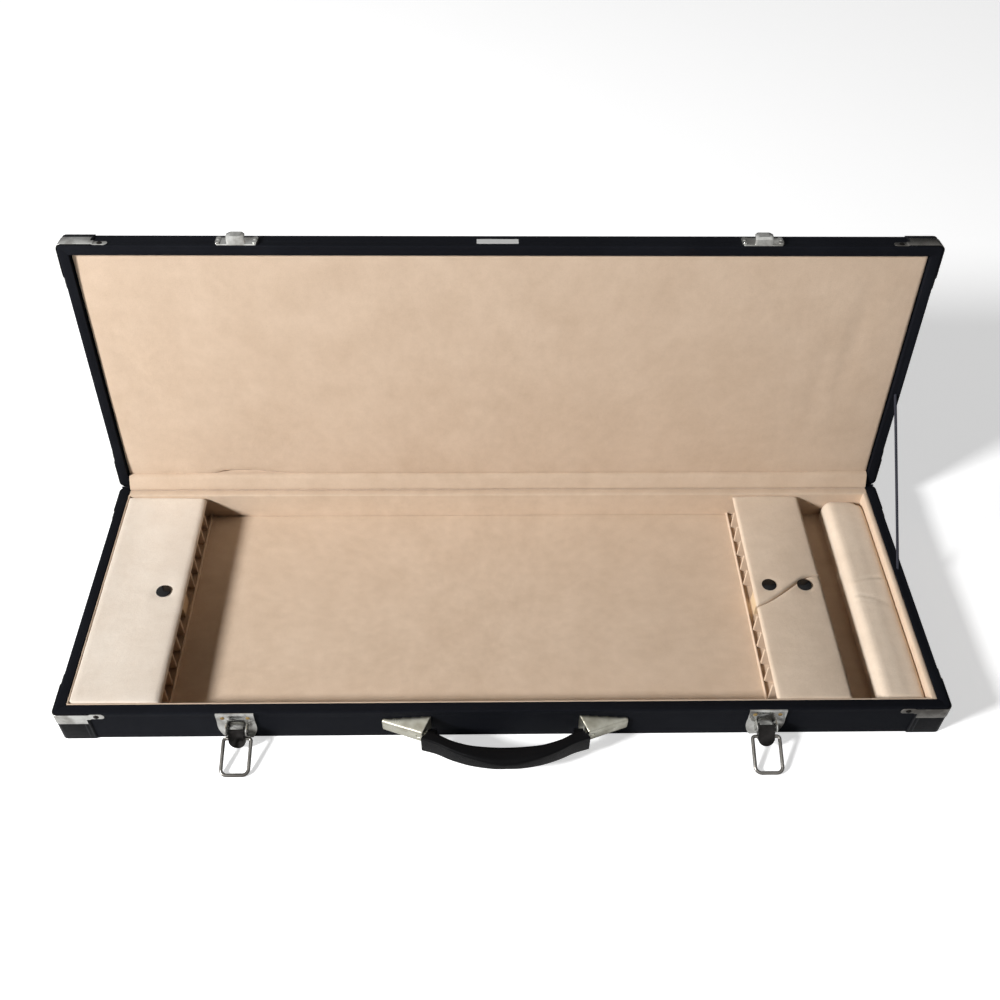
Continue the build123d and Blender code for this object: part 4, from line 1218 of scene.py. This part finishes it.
# %% Grip
grip_half_length = 71 * mm
grip_height = 23 * mm
grip_sections = (
    (0.0, 39.2, 9.5, 7.0, 5.0), (14.5, 38.7, 8.8, 7.6, 4.2), (32.5, 36.2, 7.0, 8.8, 3.0), (45.0, 32.6, 6.1, 9.5, 2.4),
    (54.0, 28.9, 5.6, 10.0, 2.0), (62.6, 23.3, 5.4, 10.4, 1.8), (71.0, 19.0, 5.2, 11.0, 1.6),
)


def grip_values(along):
    """Reach from the wall, half width, half height and corner radius of the grip at a place along it."""
    place = min(abs(along) / mm, grip_sections[-1][0])
    places = [section[0] for section in grip_sections]
    k = max(i for i, start in enumerate(places[:-1]) if start <= place)
    share = (place - places[k]) / (places[k + 1] - places[k])
    values = []
    for column in range(1, 5):
        ends = [section[column] for section in grip_sections]
        slopes = [
            0.0 if i == 0 else (ends[min(i + 1, len(ends) - 1)] - ends[i - 1])
            / (places[min(i + 1, len(places) - 1)] - places[i - 1])
            for i in range(len(ends))
        ]
        width = places[k + 1] - places[k]
        values.append((
            (2 * share ** 3 - 3 * share ** 2 + 1) * ends[k] + (share ** 3 - 2 * share ** 2 + share) * slopes[k] * width
            + (3 * share ** 2 - 2 * share ** 3) * ends[k + 1] + (share ** 3 - share ** 2) * slopes[k + 1] * width
        ) * mm)
    return values


def grip_outline(along, shrink=1.0):
    """The rounded section of the grip; towards its ends the section leans to follow the caps."""
    reach, half_width, half_height, corner = grip_values(along)
    ring = []
    for sx, sz, start in ((1, 1, 0), (-1, 1, 90), (-1, -1, 180), (1, -1, 270)):
        for a in range(0, 91, 15):
            turn = math.radians(start + a)
            out = (sx * (half_width - corner) + corner * math.cos(turn)) * shrink
            rise_up = (sz * (half_height - corner) + corner * math.sin(turn)) * shrink
            lean = max(0.0, abs(along) / grip_half_length - 0.72) / 0.28
            end_reach = reach + out
            slant = math.copysign(lean ** 2 * (0.36 * end_reach - 0.5 * mm), along)
            loose = 0.12 * mm * wander(along, rise_up * 2, 15 * mm, 51.0)
            ring.append((along + slant, -half_depth - end_reach - loose, grip_height + rise_up))
    return ring


grip_places = [-grip_half_length + 2 * grip_half_length * k / 96 for k in range(97)]
grip_outlines = [grip_outline(grip_places[0], 0.93)]
grip_outlines += [grip_outline(place) for place in grip_places[0:1]]
grip_outlines += [grip_outline(place) for place in grip_places[1:]]
grip_outlines.append(grip_outline(grip_places[-1], 0.93))
for end in (0, -1):
    sign = -1 if end == 0 else 1
    grip_outlines[end] = [(x + sign * 0.35 * mm, y, z) for x, y, z in grip_outlines[end]]
grip_parts = [skin("grip_core", grip_outlines, grip_leather, crisp=50.0)]
for side in (-1, 1):
    ears = []
    for x, inset in ((64.5, 1.2), (65.2, 0.0), (73.6, 0.0), (74.2, 0.8)):
        ears.append([
            (side * x * mm, -half_depth - reach * mm, grip_height + z * mm)
            for reach, z in (
                (9.6 + inset, 3.4), (11.6, 5.4 - inset), (17.0, 5.8 - inset), (17.0, -5.8 + inset),
                (11.6, -5.4 + inset), (9.6 + inset, -3.4),
            )
        ])
    grip_parts.append(skin(f"grip_ear_{side}", ears, grip_leather, crisp=50.0))
grip = joined("grip_leather", grip_parts)
grip_pivot = 13.0
cap_mouth = (70.3, 8.2 / 18.5)
for vertex in grip.data.vertices:
    along_reach = (-vertex.co.y - half_depth) / mm - grip_pivot
    over = (vertex.co.z - grip_height) / mm
    limit = abs(vertex.co.x) / mm
    for swing in range(-60, 61, 5):
        cos_swing, sin_swing = math.cos(math.radians(swing)), math.sin(math.radians(swing))
        swung_reach = grip_pivot + along_reach * cos_swing - over * sin_swing
        if abs(along_reach * sin_swing + over * cos_swing) < 11.9 and swung_reach < 23.0:
            limit = min(limit, cap_mouth[0] + cap_mouth[1] * max(0.0, swung_reach) - 0.3)
    vertex.co.x = math.copysign(limit * mm, vertex.co.x)
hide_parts("handle_grip")
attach(grip, "handle")
print("grip", len(grip.data.polygons), "faces")

# %% [markdown]
# ## Screws of the corner bands
# Sixteen small round-headed screws hold the bands. One head with its cross recess is modelled, and a node
# tree sets a copy on each marked place, turned by an angle that the place carries. A hand never stops
# each screw at the same turn, so the turns differ.

# %% One screw head
screw_radius = 2.6 * mm
screw_rise = 1.1 * mm


def screw_head():
    """A round head with a cross recess, standing on its seat and pointing along +Z."""
    rings = []
    for share in (0.0, 0.25, 0.5, 0.68, 0.82, 0.92, 0.98, 1.0):
        radius = screw_radius * share
        height = screw_rise * math.sqrt(1 - 0.92 * share ** 2) if share < 1 else 0.0
        rings.append([
            (radius * math.cos(math.radians(a)), radius * math.sin(math.radians(a)), height)
            for a in range(0, 360, 12)
        ])
    rings[0] = [(x * 0.01, y * 0.01, screw_rise) for x, y, _ in rings[1]]
    head = skin("screw_head", rings, dark_steel)
    cross = bmesh.new()
    for long_side in (0, 1):
        size = [0.62 * mm, 0.62 * mm, 1.2 * mm]
        size[long_side] = 3.0 * mm
        placed = Matrix.Translation((0, 0, screw_rise)) @ Matrix.Diagonal((*size, 1))
        bmesh.ops.create_cube(cross, size=1.0, matrix=placed)
    cutter = finished("screw_recess", cross, dark_steel)
    cut = head.modifiers.new("recess", "BOOLEAN")
    cut.operation = "DIFFERENCE"
    cut.solver = "EXACT"
    cut.use_self = True
    cut.object = cutter
    applied(head)
    bpy.data.objects.remove(cutter)
    head.data.polygons.foreach_set("use_smooth", [True] * len(head.data.polygons))
    head.data.set_sharp_from_angle(angle=math.radians(35))
    return head


# %% A node tree that sets a piece on marked places
def places_tree():
    """Sets the chosen piece on every point of the mesh, turned by the point's own rotation."""
    tree = bpy.data.node_groups.new("pieces on places", "GeometryNodeTree")
    tree.interface.new_socket("Geometry", in_out="INPUT", socket_type="NodeSocketGeometry")
    tree.interface.new_socket("Piece", in_out="INPUT", socket_type="NodeSocketObject")
    tree.interface.new_socket("Finish", in_out="INPUT", socket_type="NodeSocketMaterial")
    tree.interface.new_socket("Geometry", in_out="OUTPUT", socket_type="NodeSocketGeometry")
    enter = tree.nodes.new("NodeGroupInput")
    leave = tree.nodes.new("NodeGroupOutput")
    picked = tree.nodes.new("GeometryNodeObjectInfo")
    facing = tree.nodes.new("GeometryNodeInputNamedAttribute")
    facing.data_type = "FLOAT_VECTOR"
    facing.inputs["Name"].default_value = "facing"
    turned = tree.nodes.new("FunctionNodeEulerToRotation")
    copies = tree.nodes.new("GeometryNodeInstanceOnPoints")
    real = tree.nodes.new("GeometryNodeRealizeInstances")
    paint = tree.nodes.new("GeometryNodeSetMaterial")
    join = tree.links.new
    join(enter.outputs["Piece"], picked.inputs["Object"])
    join(enter.outputs["Geometry"], copies.inputs["Points"])
    join(picked.outputs["Geometry"], copies.inputs["Instance"])
    join(facing.outputs["Attribute"], turned.inputs["Euler"])
    join(turned.outputs["Rotation"], copies.inputs["Rotation"])
    join(copies.outputs["Instances"], real.inputs["Geometry"])
    join(real.outputs["Geometry"], paint.inputs["Geometry"])
    join(enter.outputs["Finish"], paint.inputs["Material"])
    join(paint.outputs["Geometry"], leave.inputs["Geometry"])
    return tree


def on_places(name, piece, places, material):
    """Copies of a piece on a list of places, each a matrix."""
    mesh = bpy.data.meshes.new(name)
    mesh.from_pydata([tuple(place.translation) for place in places], [], [])
    facing = mesh.attributes.new("facing", "FLOAT_VECTOR", "POINT")
    for k, place in enumerate(places):
        facing.data[k].vector = place.to_euler()
    result = bpy.data.objects.new(name, mesh)
    bpy.context.scene.collection.objects.link(result)
    tree = bpy.data.node_groups.get("pieces on places") or places_tree()
    modifier = result.modifiers.new("places", "NODES")
    modifier.node_group = tree
    modifier[input_id(tree, "Piece")] = piece
    modifier[input_id(tree, "Finish")] = material
    return applied(result)


# %% The screws of the bands
tab_screw = 40.4 * mm
band_thick = 0.6 * mm
tab_half = 3.5 * mm
base_screw_z = rim - 1.0 * mm - tab_half
lid_screw_z = lid_rim + 1.0 * mm + tab_half


def corner_places(z, carry):
    """The seats of eight screws, two at each corner, on a closed case."""
    seats = []
    for sx in (-1, 1):
        for sy in (-1, 1):
            along_side = Vector((sx * (half_length - tab_screw), sy * (half_depth + band_thick), z))
            along_end = Vector((sx * (half_length + band_thick), sy * (half_depth - tab_screw), z))
            for spot, outward in ((along_side, Vector((0, sy, 0))), (along_end, Vector((sx, 0, 0)))):
                turn = math.radians(37 * len(seats) % 90)
                seat = outward.to_track_quat("Z", "Y").to_matrix().to_4x4() @ Matrix.Rotation(turn, 4, "Z")
                seats.append(carry @ Matrix.Translation(spot) @ seat)
    return seats


head = screw_head()
for body, z, carry in (("base", base_screw_z, Matrix.Identity(4)), ("lid", lid_screw_z, lid_turn)):
    screws = on_places(f"{body}_band_screws", head, corner_places(z, carry), dark_steel)
    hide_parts(f"{body}_corner_screws")
    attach(screws, body)
    print(screws.name, len(screws.data.polygons), "faces")
bpy.data.objects.remove(head)

# %% [markdown]
# ## Fold of the covering at the hinge
# At both ends of the hinge the black covering is folded over the joint between base and lid, so no light
# shows through there. It is a small roll of cloth.

# %% Folds of covering
folds = []
for side in (-1, 1):
    rings = []
    for x, radius in ((413.2, 0.7), (413.5, 1.0), (423.6, 1.0), (424.3, 0.6)):
        rings.append([
            (
                side * x * mm,
                half_depth + 0.55 * mm + radius * mm * math.cos(math.radians(a)),
                rim + 0.15 * mm + radius * mm * math.sin(math.radians(a)),
            )
            for a in range(0, 360, 20)
        ])
    folds.append(skin(f"fold_{side}", rings, base_cloth))
hinge_folds = joined("covering_folds", folds)
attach(hinge_folds, "base")
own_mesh(hinge_folds)

# %% [markdown]
# ## The label
# A small white paper label is stuck on the front edge of the lid. It is left blank.

# %% Label
label_paper = Finish("white label", roughness=0.55)
label_paper.colour(label_paper.blend(srgb(226, 226, 224), srgb(240, 240, 238), label_paper.noise(300.0)))
label_paper.bump(label_paper.noise(1800.0), 0.02 * mm)
label_low = Vector((-25.8 * mm, -half_depth - 0.2 * mm, 47.4 * mm))
label_high = Vector((14.5 * mm, -half_depth, 56.4 * mm))
label_round = 0.8 * mm
label_loop = []
for cx, cz, start in (
    (label_high.x - label_round, label_high.z - label_round, 0), (label_low.x + label_round, label_high.z - label_round, 90),
    (label_low.x + label_round, label_low.z + label_round, 180), (label_high.x - label_round, label_low.z + label_round, 270),
):
    for a in range(0, 91, 15):
        turn = math.radians(start + a)
        label_loop.append((cx + label_round * math.cos(turn), cz + label_round * math.sin(turn)))
label_outlines = [[(x, y, z) for x, z in label_loop] for y in (label_low.y, label_high.y)]
label = skin("blank_label", label_outlines, label_paper.material, place=lid_turn)
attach(label, "lid")
print("label", round((label_high.x - label_low.x) / mm, 1), "mm long")


# %% Floor of the studio
floor_finish = Finish("studio floor", roughness=0.9)
floor_finish.colour(floor_finish.blend(srgb(246, 246, 246), srgb(250, 250, 250), floor_finish.noise(3.0)))
floor_view = floor_finish.add("ShaderNodeLightPath").outputs["Is Camera Ray"]
floor_finish.set("Emission Color", (1, 1, 1, 1))
floor_finish.feed(floor_finish.math("MULTIPLY", floor_view, 0.6), floor_finish.shader.inputs["Emission Strength"])
floor = bpy.data.objects.new("studio_floor", bpy.data.meshes.new("studio_floor"))
reach = 6.0
floor.data.from_pydata(
    [(-reach, -reach, 0), (reach, -reach, 0), (reach, reach, 0), (-reach, reach, 0)], [], [(0, 1, 2, 3)]
)
floor.data.materials.append(floor_finish.material)
bpy.context.scene.collection.objects.link(floor)
